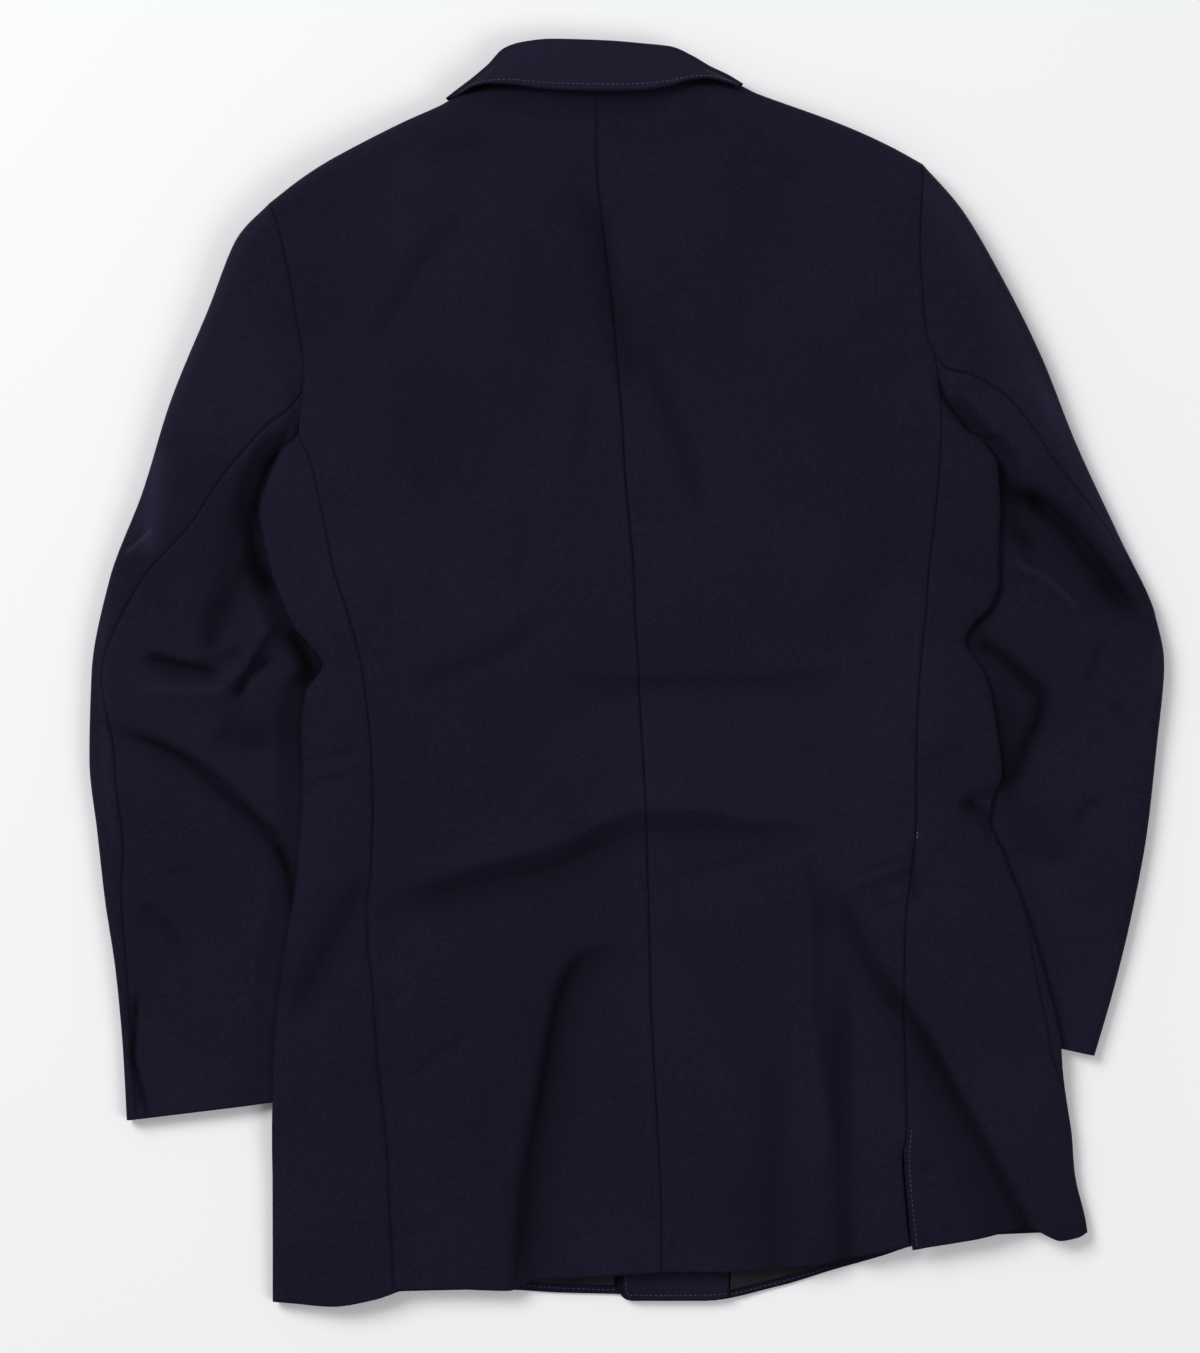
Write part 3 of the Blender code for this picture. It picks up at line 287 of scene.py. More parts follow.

# Painted shade and painted highlight on the wool, laid on top of the folds' own shadows:
# (line, width to its left, width to its right, share darkened by painted shade, or lightened by a painted highlight
# if below 0).
BODY_SHADES = [
    ([(-172.6, -157.3), (-123.9, -145.6), (-82.3, -135.8), (-43.9, -124.2), (-16, -111.8),
      (14.6, -104.7)], 9, 9, 0.22),  # painted shadow below the waist fold
    ([(14.6, -183.3), (-17.9, -186.6), (-39.4, -198.2), (-49.1, -224.2), (-55, -264.6), (-60.2, -303.6),
      (-64.7, -342.6), (-68.6, -382.9), (-73.2, -433.6)], 13, 4, 0.34),  # bend to the hem
    # valley of the left side body
    ([(-162.2, -118.3), (-183.7, -157.3), (-201.2, -189.8), (-218.1, -225.6)], 10, 10, 0.2),
    ([(157.6, -180.1), (196.6, -242.5), (217.4, -280.8), (238.2, -319.2), (261.6, -363.4),
      (290.8, -419.2)], 2.4, 6, 0.46),  # slanting trough on the right
    ([(177.1, -219.1), (203.1, -277.6), (232.3, -349.1), (248.6, -401.1)], 15, 15, 0.22),
    ([(140, -186.6), (140, -264.6), (141.3, -319.8), (142, -376.4), (143.3, -433.6)], 6, 9, 0.22),
    ([(132.9, -134.6), (152.4, -176.8), (168.6, -206.1), (183.6, -232.1)], 4, 7, 0.26),
    ([(142, -143), (164.1, -134.6), (186.8, -124.2)], 2.5, 4, 0.3),
    ([(184.9, -105.3), (184.9, -150.8)], 3, 3, 0.35),
    ([(112.1, -118.3), (119.9, -141.1), (125.1, -173.6)], 12, 12, 0.2),
    ([(96.5, -251.6), (96.5, -319.8), (95.2, -368.6), (95.2, -427.1)], 11, 11, 0.14),
    ([(212.2, -80.6), (227.8, -87.8), (243.4, -108.5)], 3, 4, 0.42),
    ([(238.8, -109.2), (241.4, -110.5)], 1.3, 1.3, 1.0),  # end of the front seam
    ([(-34.2, 317.2), (-16, 285.4), (-10.1, 249), (-3, 219.7), (11.3, 174.2)], 6, 11, 0.17),
    ([(8.1, 226.2), (25.6, 177.5), (40.6, 138.5), (54.9, 86.5)], 5, 9, 0.13),
    ([(-99.2, 307.4), (-132.3, 263.9), (-170.7, 200.2)], 8, 8, 0.09),
    ([(-121.9, 210), (-118, 164.5), (-129.7, 106)], 8, 8, 0.08),
    ([(-63.4, -7.2), (8.1, -7.2), (73.1, -6.5), (151.1, -0.7)], 4, 8, 0.13),
    ([(-43.9, 41), (-84.9, 10.4), (-123.9, -4.5), (-138.2, -22.8)], 4, 8, 0.09),
    ([(-131.7, 333.4), (-105.7, 342.6), (-82.9, 350.4)], 7, 9, 0.14),  # left neck
    ([(-24.4, 358.2), (21.1, 346.4), (66.6, 360.8)], 10, 10, 0.09),  # right neck
    ([(-112.2, 369.9), (-82.9, 373.1), (-43.9, 369.9), (-4.9, 369.2), (26.3, 372.4),
      (47.1, 378.9)], 5, 5, 0.3),  # shade of the collar
    ([(-216.8, -134.6), (-223.3, -173.6), (-227.9, -219.1)], 3, 6, 0.24),  # left edge above the cuff
    ([(-212.9, -11.1), (-212.3, -56.6), (-214.9, -115)], 5, 4, 0.16),  # dark left edge of the waist
    ([(180.3, 112.5), (154.3, 47.5), (157.6, -17.6)], 20, 20, 0.06),
]
LEFT_SLEEVE_SHADES = [
    ([(-215.5, 167.7), (-225.9, 148.2), (-236.3, 128.7), (-244.1, 102.7)], 3, 3, 0.65),  # line from the armhole
    ([(-240.2, 119), (-244.8, 93), (-241.5, 73.5), (-232.4, 47.5)], 8, 8, 0.75),  # pit beside the body
    ([(-237.6, 73.5), (-228.5, 44.2), (-212.9, 15), (-196.7, -11.1)], 6, 6, 0.55),
    ([(-241.5, 83.2), (-258.4, 50.7), (-277.9, 8.5)], 8, 8, 0.42),
    ([(-256.5, -20.2), (-242.8, 6.5), (-225.3, 34.5)], 3, 4, 0.48),  # fork of the elbow crease
    ([(-316.9, 16.2), (-284.4, 6.5), (-261.7, 11.1), (-244.1, 25.4)], 3, 6, 0.42),
    ([(-222, 31.2), (-211.6, 11.7), (-209, -11.1)], 8, 6, 0.5),
    ([(-209, 8.5), (-211, -30.6), (-212.9, -76)], 6, 6, 0.34),
    ([(-268.2, -22.8), (-240.2, -38.4), (-210.3, -26.7)], 11, 11, 0.28),
    ([(-349.4, -27.9), (-317.6, -41.6), (-294.2, -52.6), (-266.9, -75.4), (-239.6, -99.5), (-224, -122.9),
      (-216.2, -163.8)], 5, 2.4, 0.42),  # long fold
    ([(-232.4, -107.2), (-221.4, -129.3), (-217.5, -163.8)], 5, 4, 0.5),  # its end
    ([(-323.4, -144.3), (-300.7, -164.5), (-277.9, -189.8)], 4, 8, 0.14),
    ([(-310.4, 73.5), (-296.1, 34.5), (-290.9, 8.5)], 5, 7, 0.1),
    ([(-318.2, -199.6), (-320.2, -236.6), (-320.8, -249.6), (-318.2, -261.9), (-313, -280.8),
      (-309.1, -297.1)], 1.3, 2.4, 0.75),  # edge of the cuff vent
    ([(-303.9, 151.5), (-307.8, 112.5), (-313, 73.5)], 7, 7, -0.3),  # light outer edge
    ([(-222.7, 320.4), (-255.2, 267.2), (-284.4, 210), (-310.4, 138.5)], 10, 12, -0.07),  # light shoulder
    ([(-326.7, 76.7), (-316.9, 85.2), (-307.2, 94.2)], 1.4, 1.4, -0.5),
    ([(-335.1, 60.5), (-341, 8.5), (-339.7, -43.6), (-333.8, -121.5)], 4, 4, -0.1),
    # lit ridge under the crease
    ([(-323.4, -7.2), (-294.2, -13), (-269.5, -14.3), (-248.7, -5.9)], 3, 3, -0.1),
    ([(-229.2, 21.4), (-237.6, 7.2), (-248.7, -11.1)], 2.4, 2.4, -0.12),
]
RIGHT_SLEEVE_SHADES = [
    # line of the armhole
    ([(193.3, 208.7), (202.4, 183.3), (214.1, 163.8), (236.9, 143.7), (248.6, 122.2)], 2.5, 4, 0.7),
    # trough over the elbow
    ([(225.8, 132), (258.3, 115), (274.6, 103.4), (296, 81.9), (314.9, 60.5), (343.5, 21.4)], 7, 12, 0.36),
    ([(235.6, 132), (251.2, 119), (271.3, 107.2)], 8, 7, 0.5),
    ([(244, 120.2), (249.9, 96.2), (268.1, 80)], 9, 9, 0.42),
    ([(258.3, 83.2), (287.6, 68.9), (320.1, 44.2)], 8, 8, 0.18),
    ([(239.5, 60.5), (226.5, 35.8), (234.3, 8.5)], 7, 7, 0.5),  # pit at the notch
    ([(220, 21.4), (244, 11.1), (258.3, -2), (268.1, -16.2), (265.5, -31.9), (259, -44.9), (252.5, -64.4),
      (244.7, -92.3)], 5, 8, 0.42),  # hooked crease
    ([(239.5, 8.5), (246, -37.1), (244.7, -95.5)], 9, 9, 0.34),
    ([(242.1, -85.8), (264.8, -98.8), (288.9, -121.5)], 10, 10, 0.22),
    ([(309.7, 24.1), (304.5, 7.2), (297.3, -11.1)], 3, 5, 0.14),
    ([(309.7, -76), (297.3, -90.4), (284.3, -104.7)], 4, 5, 0.1),
    ([(261.6, 197), (285, 156.7), (298, 133.2), (311, 106), (330.5, 60.5)], 8, 8, -0.26),  # light outer edge
    ([(177.1, 339.9), (209.6, 297.7), (242.1, 242.5), (281.1, 158)], 14, 12, -0.12),  # light shoulder
    ([(240.8, 76), (268.1, 62.4), (303.8, 29.2)], 4, 4, -0.1),  # lit ridge
    ([(337, 54), (344.8, 21.4), (344.8, -17.6)], 4, 4, -0.16),
]
UNDER_FOLDS = [
    ([(-180, -20), (-120, 40), (-70, 120)], 9, 14, 1.6),     # drag from the buttons to the chest, out of sight
    ([(170, 0), (120, 60), (80, 140)], 12, 9, 1.5),
    ([(-150, -250), (-110, -200), (-60, -150)], 10, 10, 1.2),
    ([(150, -260), (110, -200), (70, -150)], 9, 12, 1.3),
    ([(-190, 190), (-160, 230), (-150, 280)], 9, 9, 1.4),
    ([(178, 200), (150, 240), (140, 290)], 9, 9, 1.2),
]
SLEEVE_FOLDS = {"left": LEFT_SLEEVE_FOLDS, "right": RIGHT_SLEEVE_FOLDS}

# Strips inside the hem: (x from, x to, above the hem, ripple, corner).
FACING_STRIP = (FRONT_EDGE["right"] + 3.0, 66.0, 1.0, 0.15, 6.0)
LINING_STRIPS = {"left": (-67.0, -9.0, 6.0, 0.35), "right": (67.0, 128.0, 6.0, 0.35)}
HEM_STITCHES = {"left": (-84.0, -6.0), "right": (67.0, 132.0)}      # x from, x to
LENS = 90.0
CAMERA_PLACE = (-0.0179, -0.0023, 2.207)       # above the middle of the picture, at the photograph's angle
WORLD_LIGHT = 0.34
LIGHTS = (                                     # name, place, aim, size, power
    ("soft_key", (-2.8, 2.4, 3.4), (0, 0, 0), (2.4, 2.4), 185.0),
    ("soft_fill", (2.8, -1.8, 3.2), (0, 0, 0), (2.2, 2.2), 62.0),
)


# ------------------------------------------------------------------ curves and folds
def smooth(t):
    t = np.clip(t, 0.0, 1.0)
    return t * t * (3 - 2 * t)


def lerp(a, b, t):
    return a + (b - a) * t


class Curve:
    """A smooth curve through (t, value, value...) rows, without overshoot between them."""

    def __init__(self, rows):
        rows = np.array(sorted(rows), float)
        self.t, self.values = rows[:, 0], rows[:, 1:]
        gaps = np.diff(self.t)[:, None]
        rise = np.diff(self.values, axis=0) / gaps
        before, after = rise[:-1], rise[1:]
        same = before * after > 0
        safe_before, safe_after = np.where(same, before, 1.0), np.where(same, after, 1.0)
        middle = (gaps[:-1] + gaps[1:]) / (gaps[1:] / safe_after + gaps[:-1] / safe_before)
        self.slopes = np.vstack([rise[:1], np.where(same, middle, 0.0), rise[-1:]])

    def __call__(self, t):
        t = np.clip(np.asarray(t, float), self.t[0], self.t[-1])
        i = np.clip(np.searchsorted(self.t, t, side="right") - 1, 0, len(self.t) - 2)
        span = (self.t[i + 1] - self.t[i])[..., None]
        u = (t - self.t[i])[..., None] / span
        return ((1 + 2 * u) * (1 - u) ** 2 * self.values[i] + u * (1 - u) ** 2 * span * self.slopes[i]
                + u * u * (3 - 2 * u) * self.values[i + 1] + u * u * (u - 1) * span * self.slopes[i + 1])


def reach_along(points):
    """Distance along a line of points, from its start."""
    return np.concatenate([[0.0], np.cumsum(np.linalg.norm(np.diff(points, axis=0), axis=1))])


class Path:
    """A smooth curve in the plan through points, read by the share of its length."""

    def __init__(self, points):
        points = np.array(points, float)
        reach = reach_along(points)
        self.curve = Curve([(r / reach[-1], *p) for r, p in zip(reach, points)])

    def __call__(self, t):
        return self.curve(t)


def line_field(x, y, points):
    """Distance from a line, side of it (1 left, -1 right) and share of the way along, near the line only."""
    points = np.asarray(points, float)
    if len(points) > 2:
        points = Path(points)(np.linspace(0, 1, 6 * len(points)))
    start, step = points[:-1], np.diff(points, axis=0)
    length = np.linalg.norm(step, axis=1)
    reach = np.concatenate([[0.0], np.cumsum(length)]) / length.sum()
    dx, dy = x[:, None] - start[:, 0], y[:, None] - start[:, 1]
    t = np.clip((dx * step[:, 0] + dy * step[:, 1]) / length ** 2, 0, 1)
    away_x, away_y = dx - t * step[:, 0], dy - t * step[:, 1]
    away = np.hypot(away_x, away_y)
    i = np.argmin(away, axis=1)
    row = np.arange(len(x))
    side = np.sign(step[i, 0] * away_y[row, i] - step[i, 1] * away_x[row, i])
    return away[row, i], side, lerp(reach[i], reach[i + 1], t[row, i])


def fold_height(table, x, y):
    """Height that a table of folds adds: each row is (line, width to its left, width to its right, height)."""
    shape = np.broadcast_shapes(np.shape(x), np.shape(y))
    flat_x, flat_y = np.broadcast_to(x, shape).ravel(), np.broadcast_to(y, shape).ravel()
    total = np.zeros(flat_x.size)
    for line, left, right, height in table:
        low, high = np.min(line, axis=0), np.max(line, axis=0)
        reach = FOLD_REACH * max(left, right)
        near = ((flat_x > low[0] - reach) & (flat_x < high[0] + reach)
                & (flat_y > low[1] - reach) & (flat_y < high[1] + reach)).nonzero()[0]
        if not near.size:
            continue
        away, side, along = line_field(flat_x[near], flat_y[near], line)
        across = np.exp(-(away / np.where(side > 0, left, right)) ** FOLD_POWER)
        ends = smooth(along * FOLD_TAPER + FOLD_BLUNT) * smooth((1 - along) * FOLD_TAPER + FOLD_BLUNT)
        total[near] += height * across * ends
    return total.reshape(shape)


def slack(x, y, seed, depth):
    """Slow uneven rise and fall of relaxed cloth, as a sum of seeded waves."""
    waves = np.random.default_rng(seed)
    total = 0.0
    for _ in range(SLACK_WAVES):
        angle = waves.uniform(0, 2 * pi)
        length, phase = waves.uniform(SLACK_SHORT, SLACK_LONG), waves.uniform(0, 2 * pi)
        way = x * np.cos(angle) + y * np.sin(angle)
        total = total + np.sin(way * 2 * pi / length + phase) * length / SLACK_LONG
    return depth * total / 3


edge_of, seams_of, run_of, height_of = Curve(EDGE), Curve(SEAMS), Curve(FRONT_SEAM), Curve(HEIGHT)
SIDES = {"left": -1, "right": 1}
UNDERARM = {"left": (-214.0, 157.0), "right": (203.0, 181.0)}
SLEEVES = {"left": LEFT_SLEEVE, "right": RIGHT_SLEEVE}
SLEEVE_SHADES = {"left": LEFT_SLEEVE_SHADES, "right": RIGHT_SLEEVE_SHADES}
ARMHOLES = {"left": Path(LEFT_ARMHOLE), "right": Path(RIGHT_ARMHOLE)}
TOPS = {"left": Path(LEFT_TOP), "right": Path(RIGHT_TOP)}
HEMS = {"left": Path(LEFT_HEM), "right": Path(RIGHT_HEM)}
shoulder_line = Curve(sorted(LEFT_TOP[:-1] + RIGHT_TOP))
sleeve_inner = {side: Curve([(row[3], row[2]) for row in SLEEVES[side]]) for side in SIDES}
sleeve_rows = {
    side: Curve([(i / (len(rows) - 1), *row) for i, row in enumerate(rows)]) for side, rows in SLEEVES.items()
}
SEAM_DITCHES = [
    ([(x, y) for y, _, x, _ in SEAMS], DITCH_WIDTH, DITCH_WIDTH, -DITCH_DEPTH),
    ([(x, y) for y, x, _, _ in SEAMS if y < 170], DITCH_WIDTH, DITCH_WIDTH, -DITCH_DEPTH),
    ([(x, y) for y, _, _, x in SEAMS if y < 190], DITCH_WIDTH, DITCH_WIDTH, -DITCH_DEPTH),
]
ARMHOLE_DITCHES = [
    (LEFT_ARMHOLE, ARMHOLE_DITCH_OUT, ARMHOLE_DITCH_IN, -ARMHOLE_DITCH_DEPTH),
    (RIGHT_ARMHOLE, ARMHOLE_DITCH_IN, ARMHOLE_DITCH_OUT, -ARMHOLE_DITCH_DEPTH),
]


def edge_x(side, y):
    return edge_of(y)[..., 0 if side == "left" else 1]


def seam_x(side, y):
    return seams_of(y)[..., 0 if side == "left" else 2]


def centre_x(y):
    return seams_of(y)[..., 1]


def vent_open(side, y):
    """0 above a vent and 1 where it is open."""
    return smooth((VENT_TOP[side] - y) / VENT_EASE)


def top_height(x, y):
    """Outer height of the back before it rolls over at the edges."""
    heights = height_of(y)
    across = np.clip(abs(x - centre_x(y)) / HALF_CHEST, 0, 1)
    body = lerp(heights[..., 0], heights[..., 1], across * across)
    edge = edge_of(y)
    inside = np.minimum(x - edge[..., 0], edge[..., 1] - x)
    body = body - EDGE_DROP * (1 - smooth(inside / EDGE_REACH)) * smooth((EDGE_DROP_Y - y) / EDGE_DROP_EASE)
    return (body + fold_height(BODY_FOLDS, x, y) + fold_height(SEAM_DITCHES, x, y)
            + fold_height(ARMHOLE_DITCHES, x, y) + slack(x, y, *BODY_SLACK))


def sleeve_lift(side, x, y):
    """1 where the body lies on the sleeve, 0 where it lies on the table."""
    rows = SLEEVES[side]
    beside = SIDES[side] * (x - sleeve_inner[side](y)[..., 0]) + LIFT_RAMP + LIFT_MARGIN
    below_underarm = smooth((UNDERARM[side][1] - 4.0 - y) / UNDERARM_EASE)
    above_cuff = smooth((y - min(rows[-1][1], rows[-1][3]) + CUFF_CLEAR) / CUFF_EASE)
    return below_underarm * above_cuff * smooth(beside / LIFT_RAMP)


def roll_x(side, y):
    """x of the roll line of a lapel, from the break up to the neck."""
    neck_x, neck_y = NECK[side]
    share = np.clip((y - BREAK_Y) / (neck_y - BREAK_Y), 0, 1)
    return lerp(BREAK_X, neck_x, share ** LAPEL_CURVE)


def under_height(side, x, y):
    """Height of the fronts' outer surface, which faces the table."""
    on_lapel = smooth((y - RAISED_FROM_Y) / RAISED_EASE)
    out_from_roll = SIDES[side] * (x - roll_x(side, y))
    over_lapel = on_lapel * (1 - smooth((out_from_roll - LAPEL_WIDTH - LAPEL_CLEAR) / LAPEL_EASE))
    on_other = 0.0 * x
    if side == "right":
        past_edge = smooth((x - FRONT_EDGE["left"] - OVERLAP_CLEAR) / OVERLAP_EASE)
        on_other = (1 - past_edge) * (1 - smooth((y - BREAK_Y - OVERLAP_ABOVE) / OVERLAP_EASE))
    ply = PLY * np.maximum(over_lapel, on_other * (1 + on_lapel))
    return lerp(ply, LIFT, sleeve_lift(side, x, y)) + fold_height(UNDER_FOLDS, x, y)


def rounding(d, reach):
    """Share of the full height at a distance from a rolled edge: a quarter circle."""
    t = 1 - np.clip(d / reach, 0, 1)
    return np.sqrt(np.maximum(0.0, 1 - t * t))


def body_height(side, x, y, share):
    """Height at a share of the way from the middle of the edge, up to the back or down to the front."""
    top, under = top_height(x, y), under_height(side, x, y)
    shoulder = rounding(shoulder_line(x)[..., 0] - y, SHOULDER_ROLL)
    parting = SEAM / 2 * (1 - shoulder) * np.where(share > 0, 1, -1)
    return lerp((top + under) / 2 + parting, np.where(share > 0, top, under), abs(share) * shoulder)


def body_point(side, run, y):
    """Points of the body's outer surface: run is the way round from the silhouette, up and in if positive."""
    angle = np.clip(run / ROLL, -pi / 2, pi / 2)
    rest = np.maximum(0.0, abs(run) - ROLL * pi / 2)
    x = edge_x(side, y) - SIDES[side] * (ROLL * (1 - np.cos(angle)) + rest)
    return np.stack([x, y, body_height(side, x, y, np.sin(angle))], axis=-1)


def run_at(side, x, y):
    """The run on the body that reaches the plan position x."""
    d = SIDES[side] * (edge_x(side, y) - x)
    on_roll = ROLL * np.arccos(np.clip(1 - np.maximum(d, 0.0) / ROLL, -1, 1))
    return np.where(d < ROLL, on_roll, ROLL * pi / 2 + d - ROLL)


def coons(bottom, top, start, end, u, v):
    """A patch between four border curves: start and end run up v, bottom and top run along u."""
    u, v = u[..., None], v[..., None]
    zero, one = np.zeros(1), np.ones(1)
    ruled = lerp(bottom(u[..., 0]), top(u[..., 0]), v) + lerp(start(v[..., 0]), end(v[..., 0]), u)
    corners = lerp(lerp(bottom(zero), bottom(one), u), lerp(top(zero), top(one), u), v)
    return ruled - corners


# ------------------------------------------------------------------ surfaces over shares u across and v along
def back_surface(side):
    """The half back from its side seam (u 0) to the centre seam (u 1), hem to shoulder."""
    sign, arm_y = SIDES[side], UNDERARM[side][1]
    hem, armhole = HEMS[side], ARMHOLES[side]

    def top(u):
        """The shoulder seam, exactly on the line that the front follows too."""
        x = TOPS[side](u)[..., 0]
        return np.stack([x, shoulder_line(x)[..., 0]], axis=-1)

    def side_line(v):
        y = lerp(hem(0)[1], arm_y, np.minimum(v / UNDERARM_SHARE, 1.0))
        lap = VENT_LAP[side][0] * vent_open(side, y)
        below = np.stack([seam_x(side, y) - sign * (SEAM / 2 - lap), y], axis=-1)
        above = armhole(np.clip((1 - v) / (1 - UNDERARM_SHARE), 0, 1)) - np.array([sign * SEAM / 2, 0])
        return np.where((v <= UNDERARM_SHARE)[..., None], below, above)

    def centre_line(v):
        y = lerp(hem(1)[1], top(1)[1], v)
        return np.stack([centre_x(y) + sign * SEAM / 2, y], axis=-1)

    def surface(u, v):
        plan = coons(hem, top, side_line, centre_line, u, v)
        x, y = plan[..., 0], plan[..., 1]
        share = rounding(sign * (edge_x(side, y) - x), ROLL)
        height = body_height(side, x, y, np.maximum(share, 1e-6))
        edge = np.exp(-((seam_x(side, y) - x) / VENT_REACH) ** 2) * vent_open(side, y)
        return np.stack([x, y, height + VENT_RISE[side][0] * edge], axis=-1)

    return surface


def side_surface(side):
    """The side body from the back's side seam (u 0) round the edge to the front seam (u 1)."""
    hem = Curve(SIDE_HEMS[side])
    arm_y = UNDERARM[side][1]

    def surface(u, v):
        y = lerp(hem(u)[..., 0], arm_y, v)
        start = run_at(side, seam_x(side, y), y) - SEAM / 2 + VENT_LAP[side][1] * vent_open(side, y)
        end = run_of(y)[..., 0 if side == "left" else 1] + SEAM / 2
        point = body_point(side, lerp(start, end, u), y)
        edge = np.exp(-((seam_x(side, y) - point[..., 0]) / VENT_REACH) ** 2) * vent_open(side, y)
        point[..., 2] += VENT_RISE[side][1] * edge * (u < 0.5)
        return point

    return surface


def front_edge_x(side, y, hem_y):
    """x of the front's free edge: rounded at the hem, straight below the break, then the roll line."""
    rise = np.clip(y - hem_y, 0.0, FRONT_ROUND)
    cut = FRONT_ROUND - np.sqrt(FRONT_ROUND ** 2 - (FRONT_ROUND - rise) ** 2)
    below = FRONT_EDGE[side] + SIDES[side] * cut
    return lerp(below, roll_x(side, y), smooth((y - BREAK_Y + BREAK_BELOW) / BREAK_EASE))


def front_surface(side):
    """The front from its side seam (u 0) to its free edge or roll line (u 1), under the back."""
    sign, index, arm_y = SIDES[side], 0 if side == "left" else 1, UNDERARM[side][1]
    hem = Path(FRONT_HEMS[side])
    armhole, neck_x = ARMHOLES[side], NECK[side][0]
    shoulder_x = armhole(0)[0] - sign * SEAM / 2

    def around(x, y):
        """Plan position to the way round from the silhouette, counted under the body."""
        return np.stack([run_at(side, x, y), y + 0 * x], axis=-1)

    def below(v):
        y = lerp(hem(0)[1], arm_y, np.minimum(v / UNDERARM_SHARE, 1.0))
        return np.stack([-run_of(y)[..., index] + SEAM / 2, y], axis=-1)

    def side_line(v):
        hole = armhole(np.clip((1 - v) / (1 - UNDERARM_SHARE), 0, 1))
        above = around(hole[..., 0] - sign * SEAM / 2, hole[..., 1])
        above = lerp(above, below(np.ones(1)), np.maximum(0, 1 - (v - UNDERARM_SHARE) * 16)[..., None])
        return np.where((v <= UNDERARM_SHARE)[..., None], below(v), above)

    def edge_line(v):
        y = lerp(hem(1)[1], NECK[side][1], v)
        return around(front_edge_x(side, y, hem(1)[1]), y)

    def hem_line(u):
        first, here = hem(0), hem(u)
        start = side_line(np.zeros(1)) - around(first[0], first[1])
        return around(here[..., 0], here[..., 1]) + start * (1 - u)[..., None]

    def shoulder(u):
        x = lerp(shoulder_x, neck_x, u)
        return around(x, shoulder_line(x)[..., 0])

    def surface(u, v):
        plan = coons(hem_line, shoulder, side_line, edge_line, u, v)
        return body_point(side, -plan[..., 0], plan[..., 1])

    return surface


def flat_surface(x_of, y_of, z_of):
    """A level patch from its own plan rules: x_of and y_of take (u, v), z_of takes (x, y)."""
    def surface(u, v):
        x, y = x_of(u, v), y_of(u, v)
        return np.stack([x, y, z_of(x, y)], axis=-1)

    return surface


def lapel_surface(side):
    """The lapel, turned back against the table from the roll line (u 0) to its edge (u 1)."""
    def y_of(u, v):
        return lerp(BREAK_Y + LAPEL_FOOT, GORGE_Y + GORGE_SLANT * u, v)

    def x_of(u, v):
        width = LAPEL_WIDTH * (LAPEL_LEAST + (1 - LAPEL_LEAST) * np.sin(pi / 2 * v) ** LAPEL_CURVE)
        return roll_x(side, y_of(u, v)) + SIDES[side] * (ROLL_CLEAR + width * u)

    return flat_surface(x_of, y_of, lambda x, y: 0.0 * x)


def collar_end_surface(side):
    """The end of the collar's leaf under the shoulder, from the gorge seam up to the neck."""
    def y_of(u, v):
        return lerp(GORGE_Y + 6.6 * u + 0.4, COLLAR_END_Y + 6.0 * (1 - u), v)

    def x_of(u, v):
        return roll_x(side, y_of(u, v)) + SIDES[side] * (ROLL_CLEAR + COLLAR_END_WIDTH * u)

    return flat_surface(x_of, y_of, lambda x, y: 0.0 * x)


def hem_strip_surface(side, x_from, x_to, above_hem, ripple, corner=0.0):
    """A strip that lies inside the hem on its front: facing or lining, with a rippled surface and a round corner."""
    def across(u, v):
        cut = corner - np.sqrt(corner ** 2 - (corner - np.clip(HEM_STRIP * v, 0, corner)) ** 2)
        return lerp(x_from + cut, x_to, u)

    def along(u, v):
        return hem(across(u, v))[..., 0] + above_hem + HEM_STRIP * v

    def height(x, y):
        on_front = under_height(side, x, y) + SOLID_CLOTH + STRIP_GAP + STRIP_CLOTH
        return on_front + slack(x * STRIP_SLACK_SCALE, y * STRIP_SLACK_SCALE, STRIP_SLACK_SEED, ripple)

    hem = Curve(FRONT_HEMS[side])
    return flat_surface(across, along, height)


def sleeve_height(side, x, y, s, own):
    """Height of the sleeve's top: the body's at the armhole, low where the body lies on it."""
    sign = SIDES[side]
    joined = 1 - smooth(s / JOINED_SHARE)
    inside = sign * (edge_x(side, y) - x)
    low = smooth((inside + SINK_FROM) / SINK_EASE) * smooth((UNDERARM[side][1] + 4.0 - y) / UNDERARM_EASE)
    crown = own + fold_height(SLEEVE_FOLDS[side], x, y) + slack(x, y, *SLEEVE_SLACK)
    height = lerp(lerp(crown, SLEEVE_UNDER, low), top_height(x, y), joined * (1 - low))
    start, least = SLEEVE_LEAST
    flattened = least + (start - least) * np.exp((np.minimum(height, start) - start) / (start - least))
    return np.where(height < start, flattened, height)


def sleeve_point(side, way, s):
    """Points of the sleeve's outer surface: way 0 to 1 runs from the outer edge over the top to the
    inner edge, and 1 to 2 back along the underside."""
    rows = sleeve_rows[side](s)
    outer, inner, own = rows[..., 0:2], rows[..., 2:4], rows[..., 4]
    width = np.linalg.norm(inner - outer, axis=-1)
    roll = own / 2
    half = width - 2 * roll + pi * roll
    below = way > 1
    arc = np.where(below, 2 - way, way) * half
    first, last = np.clip(arc / roll, 0, pi / 2), np.clip((half - arc) / roll, 0, pi / 2)
    near, far = arc < roll * pi / 2, arc > half - roll * pi / 2
    p = np.where(near, roll * (1 - np.cos(first)),
                 np.where(far, width - roll * (1 - np.cos(last)), roll + arc - roll * pi / 2)) / width
    share = np.where(near, np.sin(first), np.where(far, np.sin(last), 1.0))
    hole = ARMHOLE_RINGS[side]
    bow = hole(p) - lerp(sleeve_rows[side](0.0)[0:2], sleeve_rows[side](0.0)[2:4], p[..., None])
    plan = lerp(outer, inner, p[..., None]) + bow * (1 - smooth(s / BOW_SHARE))[..., None]
    height = sleeve_height(side, plan[..., 0], plan[..., 1], s, own)
    z = height * (0.5 + np.where(below, -0.5, 0.5) * share)
    return np.concatenate([plan, z[..., None]], axis=-1)


